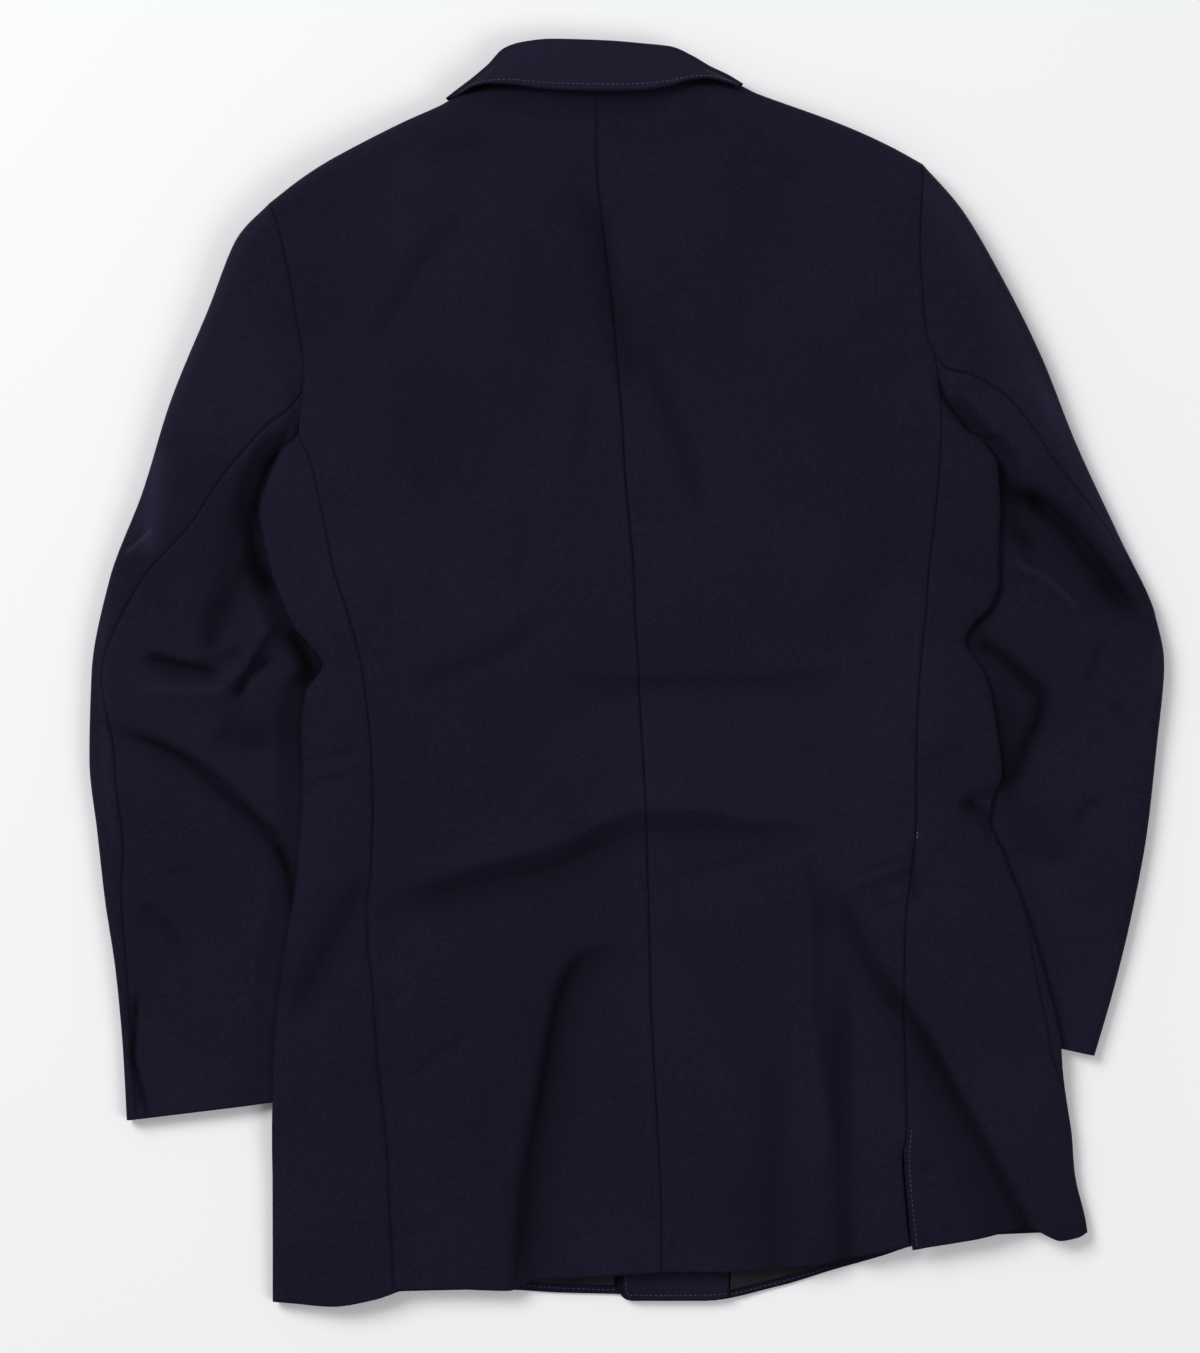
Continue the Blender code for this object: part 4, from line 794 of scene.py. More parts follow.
ARMHOLE_RINGS = {
    side: Path([(x + SIDES[side] * SEAM / 2, y) for x, y in points]
               + [(sleeve_rows[side](0.0)[2], sleeve_rows[side](0.0)[3])])
    for side, points in (("left", LEFT_ARMHOLE), ("right", RIGHT_ARMHOLE))
}


def sleeve_surface(side, part):
    """One of the two sleeve pieces between the hind-arm seam on top and the forearm seam below."""
    def surface(u, v):
        row = sleeve_rows[side](v)
        hind, around = row[..., 5], 2 * np.linalg.norm(row[..., 0:2] - row[..., 2:4], axis=-1)
        gap = SEAM / 2 / around
        if part == "under":
            way, from_hind = lerp(hind + gap, FORE_SEAM - gap, u), u * (FORE_SEAM - hind)
        else:
            way, from_hind = lerp(FORE_SEAM + gap, 2 + hind - gap, u) % 2, (1 - u) * (2 + hind - FORE_SEAM)
        point = sleeve_point(side, way, v)
        ditch = np.exp(-(from_hind * around / 2 / DITCH_WIDTH) ** 1.5) * (way < 1) * smooth((hind - 0.03) / 0.08)
        point[..., 2] -= DITCH_DEPTH * ditch
        return point

    return surface


collar_of = Curve([(i / (len(COLLAR) - 1), *row) for i, row in enumerate(COLLAR)])


def collar_surface(u, v):
    """The collar's outer side, from the stand's seam (u 0) round the fold to the leaf's edge (u 1)."""
    rows = collar_of(v)
    fold, leaf, stand = rows[..., 0:2], rows[..., 2:4], rows[..., 5:7]
    leaf_z, stand_z = rows[..., 4], rows[..., 7]
    out = fold - (leaf + stand) / 2
    out = out / np.linalg.norm(out, axis=-1, keepdims=True)
    centre = fold - out * COLLAR_ROLL
    centre_z = stand_z + COLLAR_ROLL + COLLAR_STAND + (leaf_z - stand_z) * COLLAR_LEAN
    leaf_from = COLLAR_RISE + COLLAR_TURN
    rise, turn = np.clip(u / COLLAR_RISE, 0, 1), pi * np.clip((u - COLLAR_RISE) / COLLAR_TURN, 0, 1)
    fall = np.clip((u - leaf_from) / (1 - leaf_from), 0, 1)
    rising, falling = u < COLLAR_RISE, u >= leaf_from
    plan = np.where(rising[..., None], lerp(stand, centre, rise[..., None]),
                    np.where(falling[..., None], lerp(centre, leaf, fall[..., None]),
                             centre + out * COLLAR_ROLL * np.sin(turn)[..., None]))
    leaf_height = lerp(centre_z + COLLAR_ROLL, leaf_z, fall) + LEAF_BULGE * np.sin(pi * fall) * (1 - fall)
    z = np.where(rising, lerp(stand_z, centre_z - COLLAR_ROLL, rise),
                 np.where(falling, leaf_height, centre_z - COLLAR_ROLL * np.cos(turn)))
    z = z + slack(plan[..., 0], plan[..., 1], *COLLAR_SLACK) * fall
    return np.concatenate([plan, z[..., None]], axis=-1)


# ------------------------------------------------------------------ making a piece of cloth
def shares(length, step, close=(0.0, 0.7, 1.6, 2.8)):
    """Shares along a length: steps of about one size, with closer ones at both ends, where seams dip."""
    inner = np.linspace(close[-1], length - close[-1], max(3, int(round((length - 2 * close[-1]) / step)) + 1))
    return np.concatenate([np.array(close[:-1]), inner, length - np.array(close[:-1])[::-1]]) / length


def up_the_body(below_underarm, step):
    """Shares up a body panel, with closer ones at the hem, the underarm and the shoulder."""
    return np.concatenate([shares(below_underarm, step) * UNDERARM_SHARE,
                           UNDERARM_SHARE + (1 - UNDERARM_SHARE) * shares(ARMHOLE_LENGTH, step)[1:]])


def grid_faces(rows, columns, flip, start=0):
    i = np.arange((rows - 1) * columns).reshape(rows - 1, columns)[:, :-1].ravel() + start
    faces = np.stack([i, i + 1, i + columns + 1, i + columns], axis=1)
    return faces[:, ::-1] if flip else faces


def border(rows, columns):
    """The points round a grid's border, in order."""
    bottom = np.arange(columns)
    right = np.arange(1, rows) * columns + columns - 1
    top = (rows - 1) * columns + np.arange(columns - 2, -1, -1)
    left = np.arange(rows - 2, 0, -1) * columns
    return np.concatenate([bottom, right, top, left])


def shell_mesh(name, points, faces):
    """A smooth mesh from points and four-sided faces."""
    mesh = bpy.data.meshes.new(name)
    mesh.vertices.add(len(points))
    mesh.vertices.foreach_set("co", points.ravel())
    mesh.loops.add(faces.size)
    mesh.loops.foreach_set("vertex_index", faces.ravel().astype(np.int32))
    mesh.polygons.add(len(faces))
    mesh.polygons.foreach_set("loop_start", np.arange(0, faces.size, 4, dtype=np.int32))
    mesh.polygons.foreach_set("use_smooth", np.ones(len(faces), bool))
    mesh.update(calc_edges=True)
    return mesh


def shade_at(name, x, y):
    """How far a panel's colour is darkened by painted shade in its creases (above 0) or lightened by a painted
    highlight on its rolled edges (below 0).
    """
    if name.startswith("sleeve"):
        side = "left" if "left" in name else "right"
        folds, table = SLEEVE_FOLDS[side], SLEEVE_SHADES[side]
    elif name.startswith(("back", "side")):
        folds, table = BODY_FOLDS, BODY_SHADES
    else:
        return (COLLAR_HIGHLIGHT if name == "collar" else 0.0) + 0.0 * x
    deep = np.clip(-fold_height(folds, x, y) / CREASE_FULL, 0, CREASE_MOST)
    return np.clip(deep + fold_height(table, x, y), -1, 1)


def cloth_sheet(name, surface, across, along, turn, thickness):
    """A thin closed shell of cloth: the panel's surface, the same points moved in, and a rim between them.

    across and along are the shares at which the surface is read. turn is 1 where they cross outwards.
    The mesh carries its flat cut as UV map "cut", and the attributes "seam_shade" (painted shade along its seams and
    edges) and "crease_shade" (painted shade in creases above 0, painted highlight on rolled edges below 0).
    """
    u, v = np.meshgrid(across, along)
    outer = surface(u, v)
    rows, columns = u.shape
    normal = np.cross(np.gradient(outer, axis=1), np.gradient(outer, axis=0)) * turn
    normal /= np.maximum(np.linalg.norm(normal, axis=-1, keepdims=True), 1e-9)
    inner = outer - normal * thickness
    count = rows * columns
    ring = border(rows, columns)
    following = np.roll(ring, -1)
    rim = np.stack([ring, ring + count, following + count, following], axis=1)
    faces = np.concatenate([grid_faces(rows, columns, turn < 0), grid_faces(rows, columns, turn > 0, count),
                            rim if turn > 0 else rim[:, ::-1]])
    mesh = shell_mesh(name + CLOTH, np.concatenate([outer.reshape(-1, 3), inner.reshape(-1, 3)]) * MM, faces)
    flat_u = reach_along(outer[rows // 2])[np.newaxis, :] + 0 * u
    flat_v = reach_along(outer[:, columns // 2])[:, np.newaxis] + 0 * v
    plan = np.stack([flat_u.ravel(), flat_v.ravel()], axis=1)
    plan = np.concatenate([plan, plan]) * MM
    mesh.uv_layers.new(name="cut").data.foreach_set("uv", plan[faces.ravel()].ravel())
    to_edge = np.minimum(np.minimum(flat_u, flat_u[:, -1:] - flat_u), np.minimum(flat_v, flat_v[-1:] - flat_v))
    for attribute, values in (("seam_shade", np.exp(-(to_edge / CUT_NEAR_SEAM) ** 2)),
                              ("crease_shade", shade_at(name, outer[..., 0], outer[..., 1]))):
        values = np.concatenate([values.ravel(), values.ravel()])
        mesh.attributes.new(attribute, "FLOAT", "POINT").data.foreach_set("value", values)
    mesh.validate()
    piece = bpy.data.objects.new(name + CLOTH, mesh)
    bpy.context.scene.collection.objects.link(piece)
    return piece


def dress(piece, finish, slot, *nodes):
    """Gives a piece its finish and puts it on the jacket in place of its solids."""
    piece.data.materials.append(finish)
    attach(piece, "root")
    if nodes:
        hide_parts(*nodes)
    return piece


# ------------------------------------------------------------------ finishes
def sizes_now():
    return bpy.context.scene.jacket_sizes


def colours_now():
    return bpy.context.scene.jacket_colours


def shade(colour, factor):
    return tuple(min(1.0, channel * factor) for channel in colour)


class Finish:
    """A material in the making, with a short way to each node that the finishes use."""

    def __init__(self, name):
        self.material = bpy.data.materials.new(name)
        self.material.use_nodes = True
        self.nodes, self.links = self.material.node_tree.nodes, self.material.node_tree.links
        self.shader = self.nodes["Principled BSDF"]
        self.place = self.nodes.new("ShaderNodeTexCoord").outputs["Object"]

    def feed(self, socket, value):
        """Links a socket into an input, or sets the input to a number or colour."""
        if isinstance(value, bpy.types.NodeSocket):
            self.links.new(value, socket)
        else:
            socket.default_value = value

    def surface(self, **values):
        """Feeds the shader's own inputs, named with underscores."""
        for name, value in values.items():
            self.feed(self.shader.inputs[name.replace("_", " ")], value)

    def node(self, kind, inputs, **settings):
        made = self.nodes.new("ShaderNode" + kind)
        for name, value in settings.items():
            setattr(made, name, value)
        for name, value in inputs.items():
            self.feed(made.inputs[name], value)
        return made

    def noise(self, scale, detail, roughness=0.55, source=None):
        inputs = {"Scale": scale, "Detail": detail, "Roughness": roughness, "Vector": source or self.place}
        return self.node("TexNoise", inputs).outputs["Fac"]

    def ramp(self, value, low, high, to_low, to_high):
        inputs = {"From Min": low, "From Max": high, "To Min": to_low, "To Max": to_high, "Value": value}
        return self.node("MapRange", inputs).outputs["Result"]

    def math(self, operation, a, b):
        return self.node("Math", {0: a, 1: b}, operation=operation).outputs[0]

    def bump(self, height, strength, distance, before=None):
        inputs = {"Strength": strength, "Distance": distance, "Height": height}
        return self.node("Bump", {**inputs, "Normal": before} if before else inputs).outputs["Normal"]

    def mix(self, share, a, b):
        """Colour a, or b where the share is 1."""
        a, b = ((*colour, 1.0) if isinstance(colour, tuple) else colour for colour in (a, b))
        return self.node("Mix", {0: share, 6: a, 7: b}, data_type="RGBA").outputs[2]

    def attribute(self, name):
        return self.node("Attribute", {}, attribute_name=name).outputs["Fac"]

    def twill(self, pitch, angle, distortion):
        """Slanting ribs of a twill weave, on the panel's own flat cut."""
        cut = self.node("UVMap", {}, uv_map="cut").outputs["UV"]
        turned = self.node("Mapping", {"Rotation": (0, 0, radians(angle)), "Vector": cut}).outputs["Vector"]
        inputs = {"Scale": WAVE_REPEAT / pitch, "Distortion": distortion, "Detail": 2.0, "Detail Scale": 2.0,
                  "Vector": turned}
        return self.node("TexWave", inputs, bands_direction="X").outputs["Fac"]


def wool_finish():
    """Mottled navy wool, with painted shade at seams and in creases, and a painted highlight on the rolled outer
    edges.
    """
    finish, base = Finish("navy_wool"), tuple(colours_now().wool)
    cloud, fleck = finish.noise(9.0, 3.0), finish.noise(420.0, 3.0, 0.65)
    ribs = finish.twill(sizes_now().weave_pitch, 62.0, 1.2)
    tone = finish.math("ADD", finish.ramp(cloud, 0.3, 0.7, 0.0, 0.35), finish.ramp(fleck, 0.3, 0.7, 0.0, 0.65))
    colour = finish.mix(tone, shade(base, 0.64), shade(base, 1.42))
    colour = finish.mix(finish.ramp(ribs, 0.0, 1.0, 0.0, 0.22), colour, shade(base, 0.6))
    # painted shade along seams and panel edges
    colour = finish.mix(finish.math("MULTIPLY", finish.attribute("seam_shade"), 0.45), colour, shade(base, 0.12))
    # painted shade in the creases, where crease_shade is above 0
    crease = finish.attribute("crease_shade")
    colour = finish.mix(finish.ramp(crease, 0.0, 1.0, 0.0, 0.93), colour, shade(base, 0.04))
    # painted highlight on the rolled edges and the collar, where crease_shade is below 0
    painted_highlight = tuple(channel * gain for channel, gain in zip(base, PAINTED_HIGHLIGHT_GAIN))
    colour = finish.mix(finish.ramp(crease, 0.0, -1.0, 0.0, 1.0), colour, painted_highlight)
    normal = finish.bump(ribs, 0.35, 0.00012)
    normal = finish.bump(fleck, 0.45, 0.00035, normal)
    normal = finish.bump(finish.noise(75.0, 4.0), 0.35, 0.0016, normal)
    finish.surface(Base_Color=colour, Roughness=finish.ramp(fleck, 0.3, 0.7, 0.78, 0.94), Specular_IOR_Level=0.06,
                   Sheen_Weight=0.07, Sheen_Roughness=0.30, Sheen_Tint=(0.50, 0.46, 0.85, 1.0), Normal=normal)
    return finish.material


def lining_finish():
    """Grey-black lining with a fine diagonal rib and small ripples."""
    finish, base = Finish("lining_twill"), tuple(colours_now().lining)
    ribs = finish.twill(sizes_now().weave_pitch * 0.6, -40.0, 0.5)
    tone = finish.ramp(finish.noise(45.0, 3.0), 0.3, 0.7, 0.0, 1.0)
    normal = finish.bump(finish.noise(110.0, 3.0), 0.5, 0.0008, finish.bump(ribs, 0.25, 0.00008))
    finish.surface(Base_Color=finish.mix(tone, shade(base, 0.75), shade(base, 1.35)), Roughness=0.6,
                   Specular_IOR_Level=0.06, Sheen_Weight=0.02, Normal=normal)
    return finish.material


def thread_finish():
    """Lilac-grey sewing thread."""
    finish, base = Finish("sewing_thread"), tuple(colours_now().thread)
    tone = finish.noise(900.0, 2.0)
    finish.surface(Base_Color=finish.mix(tone, shade(base, 0.7), shade(base, 1.3)), Roughness=0.55,
                   Sheen_Weight=0.2, Normal=finish.bump(tone, 0.4, 0.0001))
    return finish.material


def horn_finish():
    """Dark streaked horn."""
    finish, base = Finish("dark_horn"), tuple(colours_now().horn)
    streak = finish.node("Mapping", {"Scale": (1.0, 5.0, 1.0), "Vector": finish.place}).outputs["Vector"]
    grain = finish.noise(120.0, 4.0, source=streak)
    finish.surface(Base_Color=finish.mix(grain, shade(base, 0.6), shade(base, 2.2)),
                   Roughness=finish.ramp(grain, 0.3, 0.7, 0.25, 0.4), Normal=finish.bump(grain, 0.15, 0.0001))
    return finish.material


def floor_finish():
    """Plain pale floor."""
    finish, base = Finish("pale_floor"), tuple(colours_now().floor)
    finish.surface(Base_Color=finish.mix(finish.noise(1.5, 2.0), shade(base, 0.995), shade(base, 1.005)),
                   Roughness=0.75, Specular_IOR_Level=0.2)
    return finish.material


def finish_named(name):
    """The finish of that name, made once from the colours and sizes in the sidebar."""
    makers = {"navy_wool": wool_finish, "lining_twill": lining_finish, "sewing_thread": thread_finish,
              "dark_horn": horn_finish}
    return bpy.data.materials.get(name) or makers[name]()


def wool_panel(name, surface, across, along, turn, thickness=None, finish="navy_wool", slot="wool"):
    piece = cloth_sheet(name, surface, across, along, turn, thickness or sizes_now().cloth / MM)
    return dress(piece, finish_named(finish), slot, name)


# ------------------------------------------------------------------ stitching
def stitch_template():
    """One stitch: a short thread with rounded ends, along X."""
    bpy.ops.object.select_all(action="DESELECT")
    bpy.ops.mesh.primitive_uv_sphere_add(segments=6, ring_count=4, radius=0.5)
    ball = bpy.context.object
    points = np.array([vert.co for vert in ball.data.vertices])
    faces = [list(face.vertices) for face in ball.data.polygons]
    bpy.data.objects.remove(ball, do_unlink=True)
    return points[:, [2, 0, 1]], faces


def run_of_stitches(name, points, normals, length, gap, width):
    """Stitches laid end to end along a line of points in millimetres, each half sunk into the cloth."""
    points, normals = np.asarray(points, float), np.asarray(normals, float)
    reach = reach_along(points)
    template, faces = stitch_template()
    verts, polygons = [], []
    for middle in np.arange(length / 2, reach[-1] - length / 2, length + gap):
        def at(s):
            return np.array([np.interp(s, reach, points[:, k]) for k in range(3)])
        ahead = at(middle + 0.4) - at(middle - 0.4)
        ahead /= np.linalg.norm(ahead)
        up = np.array([np.interp(middle, reach, normals[:, k]) for k in range(3)])
        up -= ahead * up.dot(ahead)
        up /= np.linalg.norm(up)
        axes = np.stack([ahead * length, np.cross(up, ahead) * width, up * width * 0.8])
        start = len(verts) * len(template)
        verts.append(template @ axes + at(middle))
        polygons += [[index + start for index in face] for face in faces]
    mesh = bpy.data.meshes.new(name)
    mesh.from_pydata((np.concatenate(verts) * MM).tolist(), [], polygons)
    mesh.polygons.foreach_set("use_smooth", np.ones(len(mesh.polygons), bool))
    mesh.update()
    piece = bpy.data.objects.new(name, mesh)
    bpy.context.scene.collection.objects.link(piece)
    return dress(piece, finish_named("sewing_thread"), "wool")


def along_surface(surface, u, v):
    """Points and outward normals of a surface along a line of shares."""
    step = 1e-3
    here = surface(u, v)
    du = surface(np.clip(u + step, 0, 1), v) - surface(np.clip(u - step, 0, 1), v)
    dv = surface(u, np.clip(v + step, 0, 1)) - surface(u, np.clip(v - step, 0, 1))
    normal = np.cross(du, dv)
    normal /= np.linalg.norm(normal, axis=-1, keepdims=True)
    normal *= np.sign(normal[:, 2:3])
    return here, normal


# ------------------------------------------------------------------ sizes and colours in the sidebar
class JacketSizes(bpy.types.PropertyGroup):
    cloth: FloatProperty(name="Cloth", description="Thickness of a wool panel", default=0.0016, min=0.0008,
                         max=0.003, unit="LENGTH")
    lining: FloatProperty(name="Lining", description="Thickness of facing and lining", default=0.0012, min=0.0005,
                          max=0.002, unit="LENGTH")
    mesh_step: FloatProperty(name="Mesh step", description="Distance between points on the panels that show",
                             default=0.0022, min=0.0022, max=0.02, unit="LENGTH")
    hidden_step: FloatProperty(name="Hidden mesh step", description="Distance between points on the panels below",
                               default=0.0050, min=0.0035, max=0.02, unit="LENGTH")
    weave_pitch: FloatProperty(name="Weave pitch", description="Distance between two ribs of the twill",
                               default=0.0011, min=0.0004, max=0.004, unit="LENGTH")
    stitch: FloatProperty(name="Stitch", description="Length of a stitch", default=0.0021, min=0.001, max=0.006,
                          unit="LENGTH")
    stitch_gap: FloatProperty(name="Stitch gap", description="Distance between two stitches", default=0.0011,
                              min=0.0003, max=0.006, unit="LENGTH")
    thread: FloatProperty(name="Thread", description="Thickness of the sewing thread", default=0.00042,
                          min=0.0002, max=0.001, unit="LENGTH")


class JacketColours(bpy.types.PropertyGroup):
    wool: FloatVectorProperty(name="Wool", description="Colour of the navy wool", subtype="COLOR", size=3, min=0,
                              max=1, default=(0.0092, 0.0074, 0.0185))
    lining: FloatVectorProperty(name="Lining", description="Colour of the lining", subtype="COLOR", size=3, min=0,
                                max=1, default=(0.0120, 0.0118, 0.0150))
    thread: FloatVectorProperty(name="Thread", description="Colour of the top-stitching", subtype="COLOR", size=3,
                                min=0, max=1, default=(0.048, 0.042, 0.074))
    horn: FloatVectorProperty(name="Buttons", description="Colour of the buttons", subtype="COLOR", size=3, min=0,
                              max=1, default=(0.010, 0.009, 0.010))
    floor: FloatVectorProperty(name="Floor", description="Colour of the pale floor", subtype="COLOR", size=3, min=0,
                               max=1, default=(0.90, 0.905, 0.91))


# ------------------------------------------------------------------ operators
class JACKET_OT_back(bpy.types.Operator):
    """The two halves of the back, with their folds and the centre seam"""
    bl_idname = "jacket.back"
    bl_label = "Back"

    def execute(self, context):
        step = sizes_now().mesh_step / MM
        for side, turn in SIDES.items():
            across, along = shares(BACK_WIDTH, step), up_the_body(BACK_SEAM, step)
            wool_panel("back_" + side, back_surface(side), across, along, -turn)
        return {"FINISHED"}


class JACKET_OT_side_bodies(bpy.types.Operator):
    """The side bodies, which roll round the edges of the jacket"""
    bl_idname = "jacket.side_bodies"
    bl_label = "Side bodies"

    def execute(self, context):
        step = sizes_now().mesh_step / MM
        for side, turn in SIDES.items():
            across, along = shares(SIDE_WIDTH, step), shares(SIDE_LENGTH, step)
            wool_panel("side_" + side, side_surface(side), across, along, turn)
        return {"FINISHED"}


class JACKET_OT_fronts(bpy.types.Operator):
    """The fronts, which lie under the back"""
    bl_idname = "jacket.fronts"
    bl_label = "Fronts"

    def execute(self, context):
        step = sizes_now().hidden_step / MM
        for side, turn in SIDES.items():
            across = np.unique(np.concatenate([np.linspace(0, 0.12, 16), shares(FRONT_WIDTH, step)]))
            wool_panel("front_" + side, front_surface(side), across, up_the_body(SIDE_LENGTH, step), turn)
        return {"FINISHED"}


class JACKET_OT_sleeves(bpy.types.Operator):
    """The two-piece sleeves"""
    bl_idname = "jacket.sleeves"
    bl_label = "Sleeves"

    def execute(self, context):
        step = sizes_now().mesh_step / MM
        for side, turn in SIDES.items():
            for part, around in SLEEVE_ROUND.items():
                across, along = shares(around, step), shares(SLEEVE_LENGTH, step)
                wool_panel("sleeve_" + part + "_" + side, sleeve_surface(side, part), across, along, turn)
        return {"FINISHED"}


class JACKET_OT_collar(bpy.types.Operator):
    """The folded collar"""
    bl_idname = "jacket.collar"
    bl_label = "Collar"

    def execute(self, context):
        leaf_from = COLLAR_RISE + COLLAR_TURN
        leaf = leaf_from + (1 - leaf_from) * shares(LEAF_WIDTH, 2.0, (0.0, 0.5, 1.1, 1.8))
        stand_and_fold = [np.linspace(0, COLLAR_RISE, 8), np.linspace(COLLAR_RISE, leaf_from, 17)]
        across = np.unique(np.concatenate([*stand_and_fold, leaf]))
        wool_panel("collar", collar_surface, across, shares(COLLAR_LENGTH, 1.8), 1)
        return {"FINISHED"}


class JACKET_OT_lapels(bpy.types.Operator):
    """The lapels and the ends of the collar, which lie on the table"""
    bl_idname = "jacket.lapels"
    bl_label = "Lapels"

    def execute(self, context):
        for side, turn in SIDES.items():
            across, along = shares(LAPEL_WIDTH, 4.0), shares(LAPEL_LENGTH, 5.0)
            wool_panel("lapel_" + side, lapel_surface(side), across, along, -turn)
            across, along = shares(COLLAR_END_WIDTH, 4.0), shares(COLLAR_END_Y - GORGE_Y, 4.0)
            wool_panel("collar_end_" + side, collar_end_surface(side), across, along, -turn)
        return {"FINISHED"}


class JACKET_OT_hem_inside(bpy.types.Operator):
    """Facing and lining, which show inside the hem"""
    bl_idname = "jacket.hem_inside"
    bl_label = "Facing and lining"

    def execute(self, context):
        thickness = sizes_now().lining / MM
        strips = (
            ("facing_right", "right", FACING_STRIP, "navy_wool", "wool"),
            ("lining_left", "left", LINING_STRIPS["left"], "lining_twill", "lining"),
            ("lining_right", "right", LINING_STRIPS["right"], "lining_twill", "lining"),
        )
        for name, side, strip, finish, slot in strips:
            across, along = shares(strip[1] - strip[0], STRIP_STEP), shares(HEM_STRIP, STRIP_STEP)
            wool_panel(name, hem_strip_surface(side, *strip), across, along, 1, thickness, finish, slot)
        return {"FINISHED"}


class JACKET_OT_buttons(bpy.types.Operator):
    """Horn finish for the front buttons"""
    bl_idname = "jacket.buttons"
    bl_label = "Buttons"

    def execute(self, context):
        for name in ("button_upper", "button_lower"):
            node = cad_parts[name]
            node.data.materials.clear()
            node.data.materials.append(finish_named("dark_horn"))
        return {"FINISHED"}


class JACKET_OT_stitching(bpy.types.Operator):
    """Top-stitching on collar, vent, facing and hem, and the tack at the right waist"""
    bl_idname = "jacket.stitching"
    bl_label = "Stitching"

    def execute(self, context):
        sizes = sizes_now()
        length, gap, width = sizes.stitch / MM, sizes.stitch_gap / MM, sizes.thread / MM
        v = np.linspace(0.06, 0.97, 300)
        points, normals = along_surface(collar_surface, STITCH_COLLAR + 0 * v, v)
        run_of_stitches("collar_stitching", points, normals, length, gap, width)
        hem_y = SIDE_HEMS["right"][0][1]
        v = np.linspace(0.004, (VENT_TOP["right"] - hem_y) / (UNDERARM["right"][1] - hem_y), 160)
        points, normals = along_surface(side_surface("right"), STITCH_VENT + 0 * v, v)
        run_of_stitches("vent_stitching", points, normals, length, gap, width)
        v = np.concatenate([np.linspace(0.9, 0.12, 40), np.linspace(0.11, 0.065, 6), np.full(60, 0.06)])
        u = np.concatenate([np.full(40, 0.03), np.linspace(0.031, 0.045, 6), np.linspace(0.05, 0.99, 60)])
        points, normals = along_surface(hem_strip_surface("right", *FACING_STRIP), u, v)
        run_of_stitches("facing_stitching", points, normals, length, gap, width)
        for side, (start, end) in HEM_STITCHES.items():
            hem = Curve(FRONT_HEMS[side])
            x = np.linspace(start, end, 80)
            y = hem(x)[..., 0] + HEM_STITCH_ABOVE
            points = np.stack([x, y, under_height(side, x, y) + sizes.cloth / MM + LIFT_STITCH], axis=1)
            run_of_stitches("hem_stitching_" + side, points, np.tile([0.0, 0.0, 1.0], (80, 1)), length, gap, width)
        line = np.array(WAIST_TACK) + np.stack([np.zeros(9), np.linspace(-TACK_HALF, TACK_HALF, 9)], axis=1)
        points = np.concatenate([line, top_height(line[:, 0], line[:, 1])[:, None] + TACK_ABOVE], axis=1)
        run_of_stitches("waist_tack", points, np.tile([0.0, 0.0, 1.0], (9, 1)), length, gap * 0.2, width * 2.6)
        return {"FINISHED"}


class JACKET_OT_declare(bpy.types.Operator):
    """Does nothing; each piece of cloth carries its flat cut only as its UV map named cut"""
    bl_idname = "jacket.declare"
    bl_label = "Flat cuts"

    def execute(self, context):
        return {"FINISHED"}


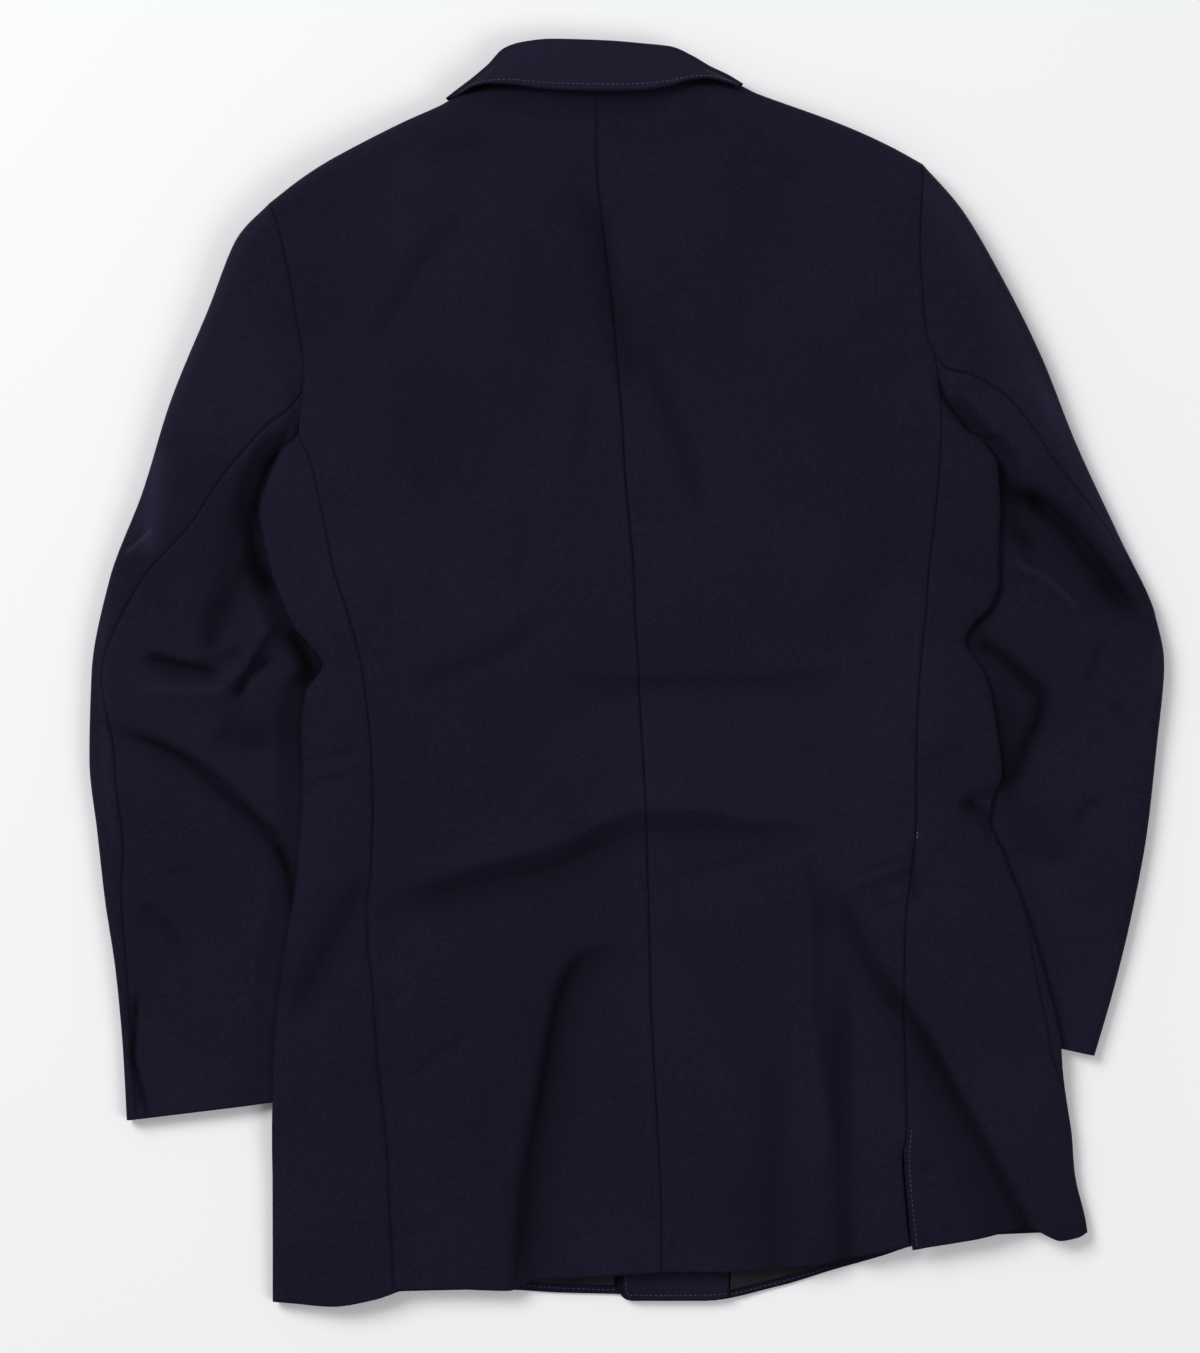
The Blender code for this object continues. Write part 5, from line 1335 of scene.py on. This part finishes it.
class JACKET_OT_stage(bpy.types.Operator):
    """Pale floor, soft studio light and the camera straight above"""
    bl_idname = "jacket.stage"
    bl_label = "Stage"

    def execute(self, context):
        scene = context.scene
        bpy.ops.object.select_all(action="DESELECT")
        bpy.ops.mesh.primitive_plane_add(size=8.0, location=(0, 0, -0.0004))
        floor = context.object
        floor.name = "floor"
        floor.data.materials.append(floor_finish())

        world = bpy.data.worlds.new("studio")
        world.use_nodes = True
        world.node_tree.nodes["Background"].inputs["Color"].default_value = (0.97, 0.98, 1.0, 1.0)
        world.node_tree.nodes["Background"].inputs["Strength"].default_value = WORLD_LIGHT
        scene.world = world
        for name, place, aim, size, power in LIGHTS:
            bpy.ops.object.light_add(type="AREA", location=place)
            lamp = context.object
            lamp.name = name
            lamp.data.shape = "RECTANGLE"
            lamp.data.size, lamp.data.size_y = size
            lamp.data.energy = power
            lamp.rotation_euler = (Vector(aim) - Vector(place)).to_track_quat("-Z", "Y").to_euler()

        camera = bpy.data.objects.new("camera", bpy.data.cameras.new("camera"))
        scene.collection.objects.link(camera)
        camera.data.lens, camera.data.sensor_width = LENS, 36.0
        camera.data.clip_end = 20.0
        camera.location = CAMERA_PLACE
        camera.rotation_euler = (0, 0, 0)
        scene.camera = camera
        scene.view_settings.view_transform = "Standard"
        scene.view_settings.look = "None"
        return {"FINISHED"}


class JACKET_PT_panel(bpy.types.Panel):
    """Lists the pieces of the jacket"""
    bl_idname = "JACKET_PT_panel"
    bl_label = "Suit jacket"
    bl_space_type = "VIEW_3D"
    bl_region_type = "UI"
    bl_category = "Jacket"

    def draw(self, context):
        for group in (context.scene.jacket_sizes, context.scene.jacket_colours):
            box = self.layout.box()
            for name in group.bl_rna.properties.keys():
                if name not in {"rna_type", "name"}:
                    box.prop(group, name)
        for operator in OPERATORS:
            self.layout.operator(operator.bl_idname)


OPERATORS = (
    JACKET_OT_back, JACKET_OT_side_bodies, JACKET_OT_fronts, JACKET_OT_sleeves, JACKET_OT_collar, JACKET_OT_lapels,
    JACKET_OT_hem_inside, JACKET_OT_buttons, JACKET_OT_stitching, JACKET_OT_declare, JACKET_OT_stage,
)
CLASSES = (JacketSizes, JacketColours, *OPERATORS, JACKET_PT_panel)


def register():
    for item in CLASSES:
        bpy.utils.register_class(item)
    bpy.types.Scene.jacket_sizes = PointerProperty(type=JacketSizes)
    bpy.types.Scene.jacket_colours = PointerProperty(type=JacketColours)


def unregister():
    del bpy.types.Scene.jacket_colours
    del bpy.types.Scene.jacket_sizes
    for item in reversed(CLASSES):
        bpy.utils.unregister_class(item)


def main():
    register()
    bpy.ops.jacket.back()
    bpy.ops.jacket.side_bodies()
    bpy.ops.jacket.fronts()
    bpy.ops.jacket.sleeves()
    bpy.ops.jacket.collar()
    bpy.ops.jacket.lapels()
    bpy.ops.jacket.hem_inside()
    bpy.ops.jacket.buttons()
    bpy.ops.jacket.stitching()
    bpy.ops.jacket.declare()
    bpy.ops.jacket.stage()


if __name__ == "__main__":
    main()
